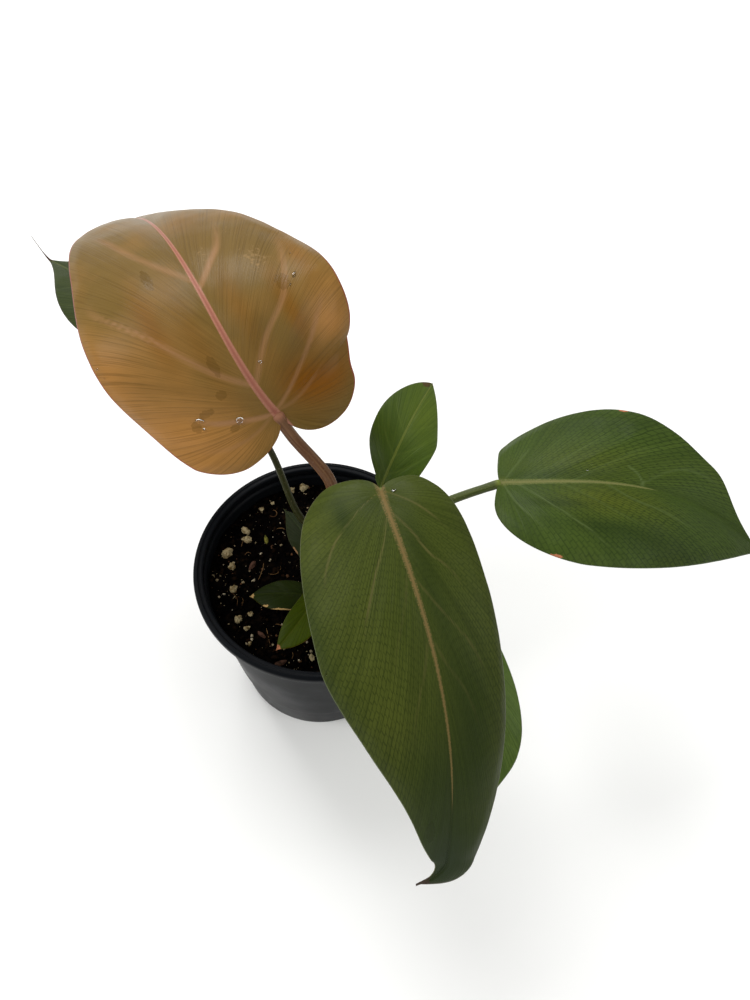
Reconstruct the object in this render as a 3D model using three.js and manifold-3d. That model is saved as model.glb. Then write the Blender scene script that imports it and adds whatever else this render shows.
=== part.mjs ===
// A young philodendron with six grown leaves and three juvenile ones, in a round nursery pot.
// Millimetres, +Z up. Origin: the centre of the pot's flat underside, so z = 0 is the ground.
// +X points to the large level leaf, -Y to the large drooping leaf.

import * as THREE from 'three';
import { mergeVertices } from 'three/addons/utils/BufferGeometryUtils.js';
import Module from 'manifold-3d';

const wasm = await Module();
wasm.setup();

// ---------------------------------------------------------------- driving dimensions

const GAP = 0.3; // clearance between pieces that touch

const POT_HEIGHT = 96;
const POT_RIM_RADIUS = 54;
const POT_BASE_RADIUS = 41.5;
const POT_WALL = 1;
const POT_FLOOR = 2;
const POT_SEGMENTS = 48;
const LIP_WIDTH = 3.2; // rolled lip, seen from above
const LIP_HEIGHT = 3.6;
const LIP_ROUND = 1.4;
const NECK_RADIUS = POT_RIM_RADIUS - LIP_WIDTH;
const FOOT_HEIGHT = 21; // the wall steps out a little above the foot band
const FOOT_STEP = 0.6;
const LEDGE_HEIGHT = 90; // the wall steps out again just under the rim, which leaves an inner ledge
const LEDGE_WIDTH = 0.7;
const RIM_PRESS = 2; // the thin wall is pressed in at the front, most of all at the rim
const DRAIN_HOLES = 6;
const DRAIN_RADIUS = 4.5;
const DRAIN_CIRCLE = 28;

const SOIL_LEVEL = 85.5;
const SOIL_BUMP = 1.1;
const SOIL_RINGS = 8;
const SOIL_SEGMENTS = 36;

const STEM_RADIUS = 4.2;
const STEM_ROUTE = [[3, 2, 60], [6, 2, 85], [12, 3, 100], [16, 4, 112]];

const BLADE_THICKNESS = 0.8;
const BASAL_FAN = 0.2; // share of the margin whose veins all start at the attachment
const VEIN_SWEEP = 1.8; // above 1, veins leave the midrib nearer the base and sweep forward
const VEIN_BEND_ALONG = 0.6; // a vein's bend: share of the way along from its start to its end
const VEIN_BEND_OUT = 0.5; // and share of the way out to the margin
const DRIP_START = 0.94; // station where a drip tip starts to bend off the midrib's curve

// One blade: midrib control points; the upward face at base and tip; each half's outline
// (width, lobe length, how far out the lobe's back lies, widest station, fullness, tip sharpness,
// and where there is one, a bay in the margin: its place, depth and spread, or a bulge below zero);
// fold and roll of the halves in degrees at base and tip; margin wave (height, cycles, right
// half's lead, phase); the drip tip's sideways reach. Lobe and stations are shares of the length.
const BLADES = {
  bronze_leaf: {
    rib: [[-16, 13, 180], [-37, 18, 208], [-51, 53, 237], [-111, 148, 146]],
    face: [[-0.29, -0.22, 0.93], [-0.23, 0.56, 0.79]],
    left: {
      width: 48, lobe: 0.093, back: 0.4, widest: 0.36, full: 0.98, point: 0.27,
      bay: [0.57, 0.084, 0.077],
    },
    right: {
      width: 45.2, lobe: 0.178, back: 0.4, widest: 0.35, full: 0.67, point: 0.25,
      bay: [0.305, 0.063, 0.025],
    },
    fold: [3, 13], rollLeft: [-54, -34], rollRight: [-26, -40],
    wave: { height: 1.8, cycles: 2.34, lead: 1.08, phase: 0.35 },
    colour: 0x8a6236, rows: 18, columns: 6,
  },
  front_leaf: {
    rib: [[23, -12, 175], [32, -39, 179], [61, -83, 156], [58, -119, 87]],
    face: [[-0.01, -0.32, 0.95], [0.12, -0.76, 0.64]],
    left: {
      width: 25.2, lobe: 0.05, back: 0.38, widest: 0.25, full: 0.96, point: 0.02,
      bay: [0.84, -0.42, 0.07],
    },
    right: {
      width: 38.3, lobe: 0.1, back: 0.38, widest: 0.46, full: 0.36, point: 0.05,
      bay: [0.88, -0.27, 0.07],
    },
    fold: [4, 3], rollLeft: [-33, -50], rollRight: [-37, -29],
    wave: { height: -0.6, cycles: 1.55, lead: 0.1, phase: -0.1 },
    drip: [-9, -1, 0],
    colour: 0x3d5426, rows: 18, columns: 6,
  },
  right_leaf: {
    rib: [[70, 19, 143], [100, 17, 151], [137, 22, 161], [181, 9, 123]],
    face: [[-0.03, 0.18, 0.98], [0.28, -0.49, 0.83]],
    left: {
      width: 36.6, lobe: 0.026, back: 0.46, widest: 0.41, full: 0.41, point: 0.22,
      bay: [0.8, -0.22, 0.06],
    },
    right: { width: 34.3, lobe: 0.02, back: 0.31, widest: 0.32, full: 0.82, point: 0.06 },
    fold: [3, 8], rollLeft: [-23, -14], rollRight: [-19, -21],
    wave: { height: 0.6, cycles: 1.58, lead: 0.21, phase: 0 },
    colour: 0x2f4a2a, rows: 16, columns: 5,
  },
  back_leaf: {
    rib: [[-54, 59, 169], [-77, 68, 172], [-108, 88, 162], [-140, 115, 149]],
    face: [[0, -0.09, 1], [-0.05, -0.03, 1]],
    left: {
      width: 23.7, lobe: 0.1, back: 0.45, widest: 0.4, full: 0.55, point: 0.2,
      bay: [0.9, -0.1, 0.07],
    },
    right: { width: 21.2, lobe: 0.1, back: 0.45, widest: 0.38, full: 0.63, point: 0.21 },
    fold: [5, 6], rollLeft: [-18, -17], rollRight: [-17, -18],
    wave: { height: 0.8, cycles: 1.54, lead: 0, phase: 0 },
    drip: [-6.5, 7.5, 5],
    colour: 0x3c5a33, rows: 14, columns: 4,
  },
  low_leaf: {
    rib: [[42, -18, 116], [55, -43, 120], [76, -72, 104], [75, -92, 79]],
    face: [[0.13, -0.19, 0.97], [0.17, -0.59, 0.79]],
    left: { width: 19.5, lobe: 0.1, back: 0.45, widest: 0.46, full: 0.75, point: 0.19 },
    right: { width: 22, lobe: 0.1, back: 0.45, widest: 0.4, full: 0.6, point: 0.2 },
    fold: [5, 6], rollLeft: [-18, -18], rollRight: [-17, -17],
    wave: { height: 0.8, cycles: 1.5, lead: 0, phase: 0 },
    colour: 0x4b6b33, rows: 14, columns: 4,
  },
  small_leaf: {
    rib: [[23, 22, 126], [27, 25, 147], [33, 43, 151], [41, 67, 143]],
    face: [[-0.19, -0.04, 0.98], [0.37, -0.23, 0.9]],
    left: { width: 13.9, lobe: 0.02, back: 0.45, widest: 0.54, full: 0.71, point: 0.01 },
    right: {
      width: 14.5, lobe: -0.05, back: 0.43, widest: 0.51, full: 0.43, point: 0.01,
      bay: [0.86, -0.08, 0.08],
    },
    fold: [-4, 5], rollLeft: [-26, -17], rollRight: [-21, -23],
    wave: { height: -2, cycles: 1.55, lead: 0.36, phase: -0.13 },
    colour: 0x4a6a34, rows: 12, columns: 4,
  },
  juvenile_leaf_left: {
    rib: [[-1, -16, 97], [-7, -17, 101], [-21, -17, 98], [-28, -17, 92]],
    face: [[0, -0.08, 1], [0, -0.08, 1]],
    left: { width: 7.5, lobe: 0.06, back: 0.5, widest: 0.46, full: 0.61, point: 0.1 },
    right: { width: 5.7, lobe: 0.06, back: 0.5, widest: 0.44, full: 0.61, point: 0.09 },
    fold: [9, 6], rollLeft: [-17, -17], rollRight: [-17, -17],
    wave: { height: -0.5, cycles: 1.53, lead: 0, phase: 0 },
    colour: 0x2c3f2c, rows: 10, columns: 3,
  },
  juvenile_leaf_front: {
    rib: [[2, -14, 102], [0, -24, 104], [-8, -36, 100], [-13, -41, 95]],
    face: [[0, -0.08, 1], [0, -0.08, 1]],
    left: { width: 8, lobe: 0.06, back: 0.5, widest: 0.45, full: 0.61, point: 0.1 },
    right: { width: 5.7, lobe: 0.06, back: 0.5, widest: 0.45, full: 0.61, point: 0.09 },
    fold: [9, 6], rollLeft: [-17, -17], rollRight: [-17, -17],
    wave: { height: -0.5, cycles: 1.53, lead: 0, phase: 0 },
    colour: 0x5c7232, rows: 10, columns: 3,
  },
  juvenile_leaf_back: {
    rib: [[1, 1, 98], [-4, 5, 102], [-9, 12, 102], [-19, 23, 101]],
    face: [[0, -0.08, 1], [0, -0.08, 1]],
    left: { width: 7.5, lobe: 0.06, back: 0.5, widest: 0.45, full: 0.6, point: 0.1 },
    right: { width: 7.5, lobe: 0.06, back: 0.5, widest: 0.45, full: 0.6, point: 0.1 },
    fold: [9, 6], rollLeft: [-17, -17], rollRight: [-17, -17],
    wave: { height: -0.5, cycles: 1.53, lead: 0, phase: 0 },
    colour: 0x24352b, rows: 10, columns: 3,
  },
};

// One petiole: the route from inside the stem up to its blade, and its radius.
const PETIOLES = {
  bronze_leaf: {
    route: [[13, 3, 103], [7, 6, 114], [5, 8, 130], [3, 8, 150], [-10.8, 12.8, 168]],
    radius: 2.3,
  },
  front_leaf: { route: [[14, 3.5, 108], [20, 1, 124], [23, -6, 150]], radius: 2.5 },
  right_leaf: { route: [[13, 3, 103], [30, 8, 119], [51, 14, 134]], radius: 1.9 },
  back_leaf: { route: [[9.5, 2.7, 95], [3, 8, 106], [-8.6, 11.6, 112], [-23, 27, 138]], radius: 1.6 },
  low_leaf: { route: [[11, 3, 97], [26, -7, 106]], radius: 1.5 },
  small_leaf: { route: [[12, 3, 101], [18, 12, 110]], radius: 1.3 },
  juvenile_leaf_left: { route: [[5, 2, 88], [2, -8, 92]], radius: 0.9 },
  juvenile_leaf_front: { route: [[6, 2, 90], [5, -6, 96]], radius: 0.9 },
  juvenile_leaf_back: { route: [[6, 2, 92.5], [3, 1.5, 94.5]], radius: 0.9 },
};
const PETIOLE_SIDES = 8;
const PETIOLE_STEP = 9; // length of one step along a petiole

// Loose lumps lying on the potting mix: plan position and size across.
const PERLITE_LUMPS = [
  [-42.5, 4.6, 5], [-38.8, -1, 3.6], [-36.1, 17.2, 3.7], [-34.6, 12.6, 4.4], [-36.3, -12.1, 3.6],
  [-31.5, -25.8, 3.5], [-27, -22.8, 2.6], [-27.6, -29.4, 2.4], [-13.2, 43.4, 4.2], [-18, 41.8, 2.8],
  [-30.9, 29.7, 2.1], [-26.6, 33.6, 2], [-25, -36, 2], [1.3, -39, 2.6],
];
const BARK_CHIPS = [
  [-11, -43, 5.4, 25], [-26.2, 14.4, 4, 110], [-30.2, 0.8, 4.6, 70], [-20.6, -31.6, 4.2, 150],
];
const CHIP_ASPECT = 0.5;
const CHIP_THICKNESS = 1.6;

// ---------------------------------------------------------------- small helpers

const vec = ([x, y, z]) => new THREE.Vector3(x, y, z);

const radians = THREE.MathUtils.degToRad;

const mix = (a, b, t) => a + (b - a) * t;

// A MeshStandardMaterial for something natural or moulded: never metallic.
const finish = (colour, roughness) => (
  new THREE.MeshStandardMaterial({ color: colour, roughness, metalness: 0, side: THREE.DoubleSide })
);

// A geometry's closed surface as a manifold solid.
function solidOf(geometry) {
  const bare = geometry.clone();
  bare.deleteAttribute('normal');
  bare.deleteAttribute('uv');
  const merged = mergeVertices(bare);
  const vertProperties = new Float32Array(merged.attributes.position.array);
  const triVerts = new Uint32Array(merged.index.array);
  return new wasm.Manifold(new wasm.Mesh({ numProp: 3, vertProperties, triVerts }));
}

// A manifold solid's surface as a geometry.
function geometryOf(solid) {
  const mesh = solid.getMesh();
  const geometry = new THREE.BufferGeometry();
  geometry.setAttribute('position', new THREE.BufferAttribute(mesh.vertProperties, 3));
  geometry.setIndex(new THREE.BufferAttribute(mesh.triVerts, 1));
  return geometry;
}

// A closed geometry from a list of points and a list of triangles (triples of point indices).
function closedGeometry(points, triangles) {
  const geometry = new THREE.BufferGeometry();
  geometry.setFromPoints(points);
  geometry.setIndex(triangles.flat());
  return geometry;
}

// A round bar along a smooth curve through the route's points.
function bar(route, radius, sides, step) {
  const path = new THREE.CatmullRomCurve3(route.map(vec), false, 'centripetal');
  const section = new THREE.Shape().absarc(0, 0, radius, 0, 2 * Math.PI);
  const steps = Math.ceil(path.getLength() / step);
  return new THREE.ExtrudeGeometry(section, { steps, curveSegments: sides, extrudePath: path });
}

// ---------------------------------------------------------------- the nursery pot

// Outer radius of the tapered wall at height z.
const wallRadius = (z) => mix(POT_BASE_RADIUS, NECK_RADIUS - LEDGE_WIDTH, z / LEDGE_HEIGHT);

// Inner radius of the wall at height z, below the ledge.
const innerRadius = (z) => wallRadius(z) - POT_WALL;

// Moves the front half of a round piece inward, growing with height and with distance from the axis.
function pressFront(geometry) {
  const corners = geometry.attributes.position;
  for (let k = 0; k < corners.count; k += 1) {
    const share = Math.min(corners.getY(k), 0) / POT_RIM_RADIUS;
    corners.setY(k, corners.getY(k) + RIM_PRESS * (corners.getZ(k) / POT_HEIGHT) * share * share);
  }
  return geometry;
}

// Points on a quarter turn about (r, z), from one angle to another in degrees.
function roundCorner(r, z, radius, from, to) {
  const corner = new THREE.EllipseCurve(r, z, radius, radius, radians(from), radians(to), from > to);
  return corner.getPoints(3);
}

function potGeometry() {
  const point = (r, z) => new THREE.Vector2(r, z);
  const lipInside = NECK_RADIUS - POT_WALL;
  const lipUnderside = POT_HEIGHT - LIP_HEIGHT;
  const profile = [
    point(0, 0),
    point(POT_BASE_RADIUS - 1, 0),
    point(POT_BASE_RADIUS - FOOT_STEP, 1),
    point(wallRadius(FOOT_HEIGHT) - FOOT_STEP, FOOT_HEIGHT),
    point(wallRadius(FOOT_HEIGHT), FOOT_HEIGHT + FOOT_STEP),
    point(wallRadius(LEDGE_HEIGHT), LEDGE_HEIGHT),
    point(NECK_RADIUS, LEDGE_HEIGHT + LEDGE_WIDTH),
    point(NECK_RADIUS, lipUnderside),
    point(POT_RIM_RADIUS - 0.6, lipUnderside),
    ...roundCorner(POT_RIM_RADIUS - LIP_ROUND, POT_HEIGHT - LIP_ROUND, LIP_ROUND, 0, 90),
    ...roundCorner(lipInside + LIP_ROUND, POT_HEIGHT - LIP_ROUND, LIP_ROUND, 90, 180),
    point(lipInside, LEDGE_HEIGHT + 2 * LEDGE_WIDTH),
    point(innerRadius(LEDGE_HEIGHT), LEDGE_HEIGHT),
    point(innerRadius(POT_FLOOR), POT_FLOOR),
    point(0, POT_FLOOR),
  ];
  let pot = solidOf(new THREE.LatheGeometry(profile, POT_SEGMENTS).rotateX(Math.PI / 2));
  for (let hole = 0; hole < DRAIN_HOLES; hole += 1) {
    const angle = (2 * Math.PI * hole) / DRAIN_HOLES;
    const drill = new THREE.CylinderGeometry(DRAIN_RADIUS, DRAIN_RADIUS, 3 * POT_FLOOR, 12);
    drill.rotateX(Math.PI / 2);
    drill.translate(DRAIN_CIRCLE * Math.cos(angle), DRAIN_CIRCLE * Math.sin(angle), POT_FLOOR / 2);
    pot = pot.subtract(solidOf(drill));
  }
  return pressFront(geometryOf(pot));
}

// ---------------------------------------------------------------- the potting mix

// Height of the mix's uneven top at a plan position.
function soilHeight(x, y) {
  const swell = Math.sin(0.11 * x + 0.6) * Math.cos(0.09 * y - 0.4);
  const lumps = Math.sin(0.31 * x + 0.23 * y) * Math.sin(0.27 * y - 0.19 * x + 1.1);
  return SOIL_LEVEL + SOIL_BUMP * (0.55 * swell + 0.45 * lumps);
}

function soilGeometry() {
  const bottom = POT_FLOOR + GAP;
  const topRadius = innerRadius(SOIL_LEVEL - SOIL_BUMP) - GAP;
  const bottomRadius = innerRadius(bottom) - GAP;
  const points = [new THREE.Vector3(0, 0, soilHeight(0, 0)), new THREE.Vector3(0, 0, bottom)];
  const ringPoint = (radius, segment, height) => {
    const angle = (2 * Math.PI * segment) / SOIL_SEGMENTS;
    const x = radius * Math.cos(angle);
    const y = radius * Math.sin(angle);
    return new THREE.Vector3(x, y, height ?? soilHeight(x, y));
  };
  for (let ring = 1; ring <= SOIL_RINGS; ring += 1) {
    for (let s = 0; s < SOIL_SEGMENTS; s += 1) {
      points.push(ringPoint((topRadius * ring) / SOIL_RINGS, s));
    }
  }
  for (let s = 0; s < SOIL_SEGMENTS; s += 1) points.push(ringPoint(bottomRadius, s, bottom));
  const at = (ring, s) => 2 + (ring - 1) * SOIL_SEGMENTS + (s % SOIL_SEGMENTS);
  const triangles = [];
  for (let s = 0; s < SOIL_SEGMENTS; s += 1) {
    triangles.push([0, at(1, s), at(1, s + 1)]);
    for (let ring = 1; ring <= SOIL_RINGS; ring += 1) {
      triangles.push([at(ring, s), at(ring + 1, s), at(ring + 1, s + 1)]);
      triangles.push([at(ring, s), at(ring + 1, s + 1), at(ring, s + 1)]);
    }
    triangles.push([1, at(SOIL_RINGS + 1, s + 1), at(SOIL_RINGS + 1, s)]);
  }
  const socket = bar(STEM_ROUTE, STEM_RADIUS + GAP, 12, PETIOLE_STEP);
  const body = solidOf(pressFront(closedGeometry(points, triangles)));
  return geometryOf(body.subtract(solidOf(socket)));
}

// An uneven lump: an icosahedron whose corners are pushed in or out by a fixed pattern.
function lumpGeometry(size, seed) {
  const geometry = mergeVertices(stripped(new THREE.IcosahedronGeometry(size / 2, 0)));
  const corners = geometry.attributes.position;
  for (let k = 0; k < corners.count; k += 1) {
    const push = 1 + 0.16 * Math.sin(2.3 * k + 1.7 * seed);
    corners.setXYZ(k, corners.getX(k) * push, corners.getY(k) * push, corners.getZ(k) * 0.8);
  }
  return geometry;
}

// A flat chip with a six-sided outline.
function chipGeometry(length) {
  const outline = new THREE.Shape([
    [-0.5, -0.2], [-0.1, -0.5], [0.4, -0.35], [0.5, 0.15], [0.1, 0.5], [-0.4, 0.3],
  ].map(([x, y]) => new THREE.Vector2(x * length, y * length * CHIP_ASPECT)));
  return new THREE.ExtrudeGeometry(outline, { depth: CHIP_THICKNESS, bevelEnabled: false });
}

// The geometry with nothing but positions, so that its corners can merge.
function stripped(geometry) {
  geometry.deleteAttribute('normal');
  geometry.deleteAttribute('uv');
  return geometry;
}

// ---------------------------------------------------------------- leaf blades

// One half's margin in plan, along the midrib (share of length) and out from it (mm), as three
// cubic curves: the notch to the lobe's back, the lobe's back to the widest place, and the tip.
function marginPoint(v, half) {
  const { width, lobe, back, widest, full, point, bay } = half;
  const round = 0.5523; // handle length that makes a cubic curve a quarter ellipse
  const curves = [
    [0, 0, -0.7 * lobe, 0, -lobe, 0.45 * back * width, -lobe, back * width],
    [-lobe, back * width, -lobe, mix(back, 1, round) * width,
      widest - round * (widest + lobe), width, widest, width],
    [widest, width, widest + full * (1 - widest), width, 1 - point, 0, 1, 0],
  ];
  const ends = [0, BASAL_FAN, 0.45, 1];
  const k = v < ends[1] ? 0 : (v < ends[2] ? 1 : 2);
  const t = (v - ends[k]) / (ends[k + 1] - ends[k]);
  const c = curves[k];
  const curve = new THREE.CubicBezierCurve(
    new THREE.Vector2(c[0], c[1]), new THREE.Vector2(c[2], c[3]),
    new THREE.Vector2(c[4], c[5]), new THREE.Vector2(c[6], c[7]),
  );
  const margin = curve.getPoint(t);
  if (bay) margin.y *= 1 - bay[1] * Math.exp(-(((v - bay[0]) / bay[2]) ** 2));
  return margin;
}

// Where the vein that ends at margin parameter v leaves the midrib, as a share of its length.
const veinStation = (v) => Math.max(0, (v - BASAL_FAN) / (1 - BASAL_FAN)) ** VEIN_SWEEP;

// A point of the flattened blade, a share u of the way out along the vein that ends at v.
function flatPoint(u, v, half) {
  const start = veinStation(v);
  const end = marginPoint(v, half);
  const bend = new THREE.Vector2(mix(start, end.x, VEIN_BEND_ALONG), VEIN_BEND_OUT * end.y);
  return new THREE.QuadraticBezierCurve(new THREE.Vector2(start, 0), bend, end).getPoint(u);
}

// Midrib point, direction and upward normal at a station, with the drip tip's sideways bend.
function ribFrame(blade, station) {
  const rib = new THREE.CubicBezierCurve3(...blade.rib.map(vec));
  const s = THREE.MathUtils.clamp(station, 0, 1);
  const e = 0.001;
  const span = 2 * e;
  const low = THREE.MathUtils.clamp(s - e, 0, 1 - span);
  const slope = rib.getPoint(low + span).sub(rib.getPoint(low)).divideScalar(span);
  const start = rib.getPoint(e).sub(rib.getPoint(0)).divideScalar(e);
  const origin = rib.getPoint(s).addScaledVector(start, Math.min(station, 0));
  if (blade.drip) {
    const reach = 1 - DRIP_START;
    const k = Math.max(0, (s - DRIP_START) / reach);
    origin.addScaledVector(vec(blade.drip), k * k);
    slope.addScaledVector(vec(blade.drip), (2 * k) / reach);
  }
  const along = slope.normalize();
  const up = vec(blade.face[0]).lerp(vec(blade.face[1]), s);
  up.addScaledVector(along, -up.dot(along)).normalize();
  return { origin, up, across: new THREE.Vector3().crossVectors(along, up) };
}

// A point of the blade's middle surface and the surface's normal there. Each half leaves the
// midrib at the fold angle and then rolls along a circular arc; the wave lifts its margin.
function bladePoint(blade, side, u, v) {
  const half = side < 0 ? blade.left : blade.right;
  const roll = side < 0 ? blade.rollLeft : blade.rollRight;
  const flat = flatPoint(u, v, half);
  const s = THREE.MathUtils.clamp(flat.x, 0, 1);
  const { origin, up, across } = ribFrame(blade, flat.x);
  const fold = radians(mix(blade.fold[0], blade.fold[1], s));
  const curl = radians(mix(roll[0], roll[1], s)) / half.width;
  const turned = fold + curl * flat.y;
  const out = (Math.sin(turned) - Math.sin(fold)) / curl;
  const { height, cycles, lead, phase } = blade.wave;
  const turns = cycles * flat.x + (side > 0 ? lead : 0) + phase;
  const wave = height * (flat.y / half.width) ** 2 * Math.sin(2 * Math.PI * turns);
  const rise = (Math.cos(fold) - Math.cos(turned)) / curl + wave;
  const place = origin.addScaledVector(across, side * out).addScaledVector(up, rise);
  const normal = up.multiplyScalar(Math.cos(turned)).addScaledVector(across, -side * Math.sin(turned));
  return { place, normal };
}

// The blade as a thin closed solid: an upper and a lower sheet, joined by a wall along the margin.
// The veins near the base all start at the attachment, so those rows share their first point.
function bladeGeometry(blade) {
  const { rows, columns } = blade;
  const upper = [];
  const lower = [];
  const put = (side, u, v) => {
    const { place, normal } = bladePoint(blade, side, u, v);
    const middle = u === 0 ? ribFrame(blade, veinStation(v)).up : normal;
    upper.push(place.clone().addScaledVector(middle, BLADE_THICKNESS / 2));
    lower.push(place.clone().addScaledVector(middle, -BLADE_THICKNESS / 2));
    return upper.length - 1;
  };
  const attachment = put(1, 0, 0);
  const tip = put(1, 0, 1);
  const grid = { left: [], right: [] };
  for (let row = 1; row < rows; row += 1) {
    const v = row / rows;
    const onRib = veinStation(v) > 0 ? put(1, 0, v) : attachment;
    grid.left.push([onRib]);
    grid.right.push([onRib]);
    for (let column = 1; column <= columns; column += 1) {
      grid.left[row - 1].push(put(-1, column / columns, v));
      grid.right[row - 1].push(put(1, column / columns, v));
    }
  }
  const sheet = [];
  const face = (a, b, c, mirrored) => {
    if (a !== b && b !== c && a !== c) sheet.push(mirrored ? [a, c, b] : [a, b, c]);
  };
  for (const [half, mirrored] of [[grid.right, false], [grid.left, true]]) {
    for (let row = 0; row < half.length; row += 1) {
      const next = half[row + 1] ?? Array(columns + 1).fill(tip);
      for (let column = 0; column < columns; column += 1) {
        face(half[row][column], half[row][column + 1], next[column + 1], mirrored);
        face(half[row][column], next[column + 1], next[column], mirrored);
      }
    }
  }
  const margin = (half) => [...half[0].slice(1, columns), ...half.map((row) => row[columns])];
  const outline = [attachment, ...margin(grid.right), tip, ...margin(grid.left).reverse()];
  const offset = upper.length;
  const triangles = [...sheet, ...sheet.map(([a, b, c]) => [a + offset, c + offset, b + offset])];
  outline.forEach((from, k) => {
    const to = outline[(k + 1) % outline.length];
    triangles.push([from, from + offset, to + offset], [from, to + offset, to]);
  });
  return closedGeometry([...upper, ...lower], triangles);
}

// ---------------------------------------------------------------- stem and petioles

// A petiole ends just under its blade, so its route's last point is worked out from the blade.
function petioleRoute(blade, petiole) {
  const { origin, up } = ribFrame(blade, 0);
  const heading = origin.clone().sub(vec(petiole.route.at(-1))).normalize();
  const tilt = new THREE.Vector3().crossVectors(heading, up).length();
  const drop = BLADE_THICKNESS / 2 + GAP + 0.3 + petiole.radius * tilt;
  return [...petiole.route, origin.addScaledVector(up, -drop).toArray()];
}

// A petiole, cut where it meets the stem and the petioles that clasp the stem before it.
function petioleGeometry(blade, petiole, cutters) {
  const route = petioleRoute(blade, petiole);
  let solid = solidOf(bar(route, petiole.radius, PETIOLE_SIDES, PETIOLE_STEP));
  for (const cutter of cutters) solid = solid.subtract(cutter);
  cutters.push(solidOf(bar(route, petiole.radius + GAP, PETIOLE_SIDES, PETIOLE_STEP)));
  return geometryOf(solid);
}

// ---------------------------------------------------------------- assembly

const plant = new THREE.Group();

function add(name, geometry, material) {
  const mesh = new THREE.Mesh(geometry, material);
  mesh.name = name;
  plant.add(mesh);
  return mesh;
}

add('nursery_pot', potGeometry(), finish(0x1d1f20, 0.4));
add('potting_mix', soilGeometry(), finish(0x15110f, 0.95));
add('stem', bar(STEM_ROUTE, STEM_RADIUS, 12, PETIOLE_STEP), finish(0x4d5a2e, 0.5));

const cutters = [solidOf(bar(STEM_ROUTE, STEM_RADIUS + GAP, 12, PETIOLE_STEP))];
for (const [leaf, blade] of Object.entries(BLADES)) {
  const petioleColour = leaf === 'bronze_leaf' ? 0x7c5a49 : 0x3f5129;
  add(`${leaf}_petiole`, petioleGeometry(blade, PETIOLES[leaf], cutters), finish(petioleColour, 0.45));
  add(`${leaf}_blade`, bladeGeometry(blade), finish(blade.colour, 0.4));
}

PERLITE_LUMPS.forEach(([x, y, size], k) => {
  const lump = add(`perlite_${k + 1}`, lumpGeometry(size, k), finish(0xd9cdb4, 0.9));
  lump.position.set(x, y, soilHeight(x, y) + GAP + 0.55 * size);
});

BARK_CHIPS.forEach(([x, y, length, turn], k) => {
  const chip = add(`bark_chip_${k + 1}`, chipGeometry(length), finish(0x4a3527, 0.9));
  chip.position.set(x, y, soilHeight(x, y) + 2 * GAP);
  chip.rotation.z = radians(turn);
});

export default plant;
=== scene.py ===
"""Looks for a young philodendron in a round nursery pot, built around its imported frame.

Sizes in the shape classes are millimetres in the row frame; Surface.build turns them to metres.
"""
import logging
import math
from dataclasses import dataclass, field, replace
from enum import Enum

import bmesh
import bpy
import numpy as np
from mathutils import Matrix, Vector
from numpy.typing import NDArray


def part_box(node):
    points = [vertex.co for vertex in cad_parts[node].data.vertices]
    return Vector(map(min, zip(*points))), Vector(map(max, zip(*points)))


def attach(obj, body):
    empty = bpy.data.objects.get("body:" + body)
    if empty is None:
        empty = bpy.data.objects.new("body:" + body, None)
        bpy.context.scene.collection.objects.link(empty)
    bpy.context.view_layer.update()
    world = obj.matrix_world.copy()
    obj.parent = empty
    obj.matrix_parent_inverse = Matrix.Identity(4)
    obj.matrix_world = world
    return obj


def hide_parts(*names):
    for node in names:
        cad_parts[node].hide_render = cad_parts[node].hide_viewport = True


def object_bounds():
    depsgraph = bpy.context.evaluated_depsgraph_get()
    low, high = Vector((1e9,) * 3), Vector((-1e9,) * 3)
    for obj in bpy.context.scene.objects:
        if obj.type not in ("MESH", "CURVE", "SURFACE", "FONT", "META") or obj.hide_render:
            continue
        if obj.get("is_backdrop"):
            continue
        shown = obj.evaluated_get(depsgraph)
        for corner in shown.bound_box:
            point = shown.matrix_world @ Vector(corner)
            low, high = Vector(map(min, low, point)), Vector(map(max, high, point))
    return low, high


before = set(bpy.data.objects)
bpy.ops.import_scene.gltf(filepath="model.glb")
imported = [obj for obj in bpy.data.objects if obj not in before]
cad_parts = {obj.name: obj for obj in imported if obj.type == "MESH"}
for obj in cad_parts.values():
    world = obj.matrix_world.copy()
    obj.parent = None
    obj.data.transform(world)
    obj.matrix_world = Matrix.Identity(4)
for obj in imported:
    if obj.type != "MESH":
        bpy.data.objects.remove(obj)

log = logging.getLogger("philodendron")

Array = NDArray[np.float64]
Point = tuple[float, float, float]
MM = 0.001  # metres in a millimetre
BODY = "root"


class Slot(Enum):
    """Material slots of the record."""

    POT = "black_polypropylene"
    MIX = "potting_mix"
    STEM = "stem_green"
    BRONZE = "bronze_leaf"
    DARK = "dark_leaf"
    MID = "mid_green_leaf"
    JUVENILE = "juvenile_leaf"
    MAUVE = "mauve_petiole"
    GREEN = "green_petiole"
    PERLITE = "perlite"
    BARK = "bark"


# ---------------------------------------------------------------- curves, noise and colour


def linear(colour: str) -> tuple[float, float, float, float]:
    """Turns an sRGB hex colour to linear light.

    Args:
        colour: six hex digits.

    Returns:
        Linear red, green and blue, and an alpha of one.
    """
    parts = [int(colour[k : k + 2], 16) / 255 for k in (0, 2, 4)]
    red, green, blue = (c / 12.92 if c <= 0.04045 else ((c + 0.055) / 1.055) ** 2.4 for c in parts)
    return red, green, blue, 1.0


def mix(a: Array | float, b: Array | float, t: Array | float) -> Array | float:
    """Straight-line blend from a to b."""
    return a + (b - a) * t


def smooth(t: Array, low: float, high: float) -> Array:
    """Smooth step of t from 0 at low to 1 at high."""
    s = np.clip((t - low) / (high - low), 0, 1)
    return s * s * (3 - 2 * s)


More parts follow.
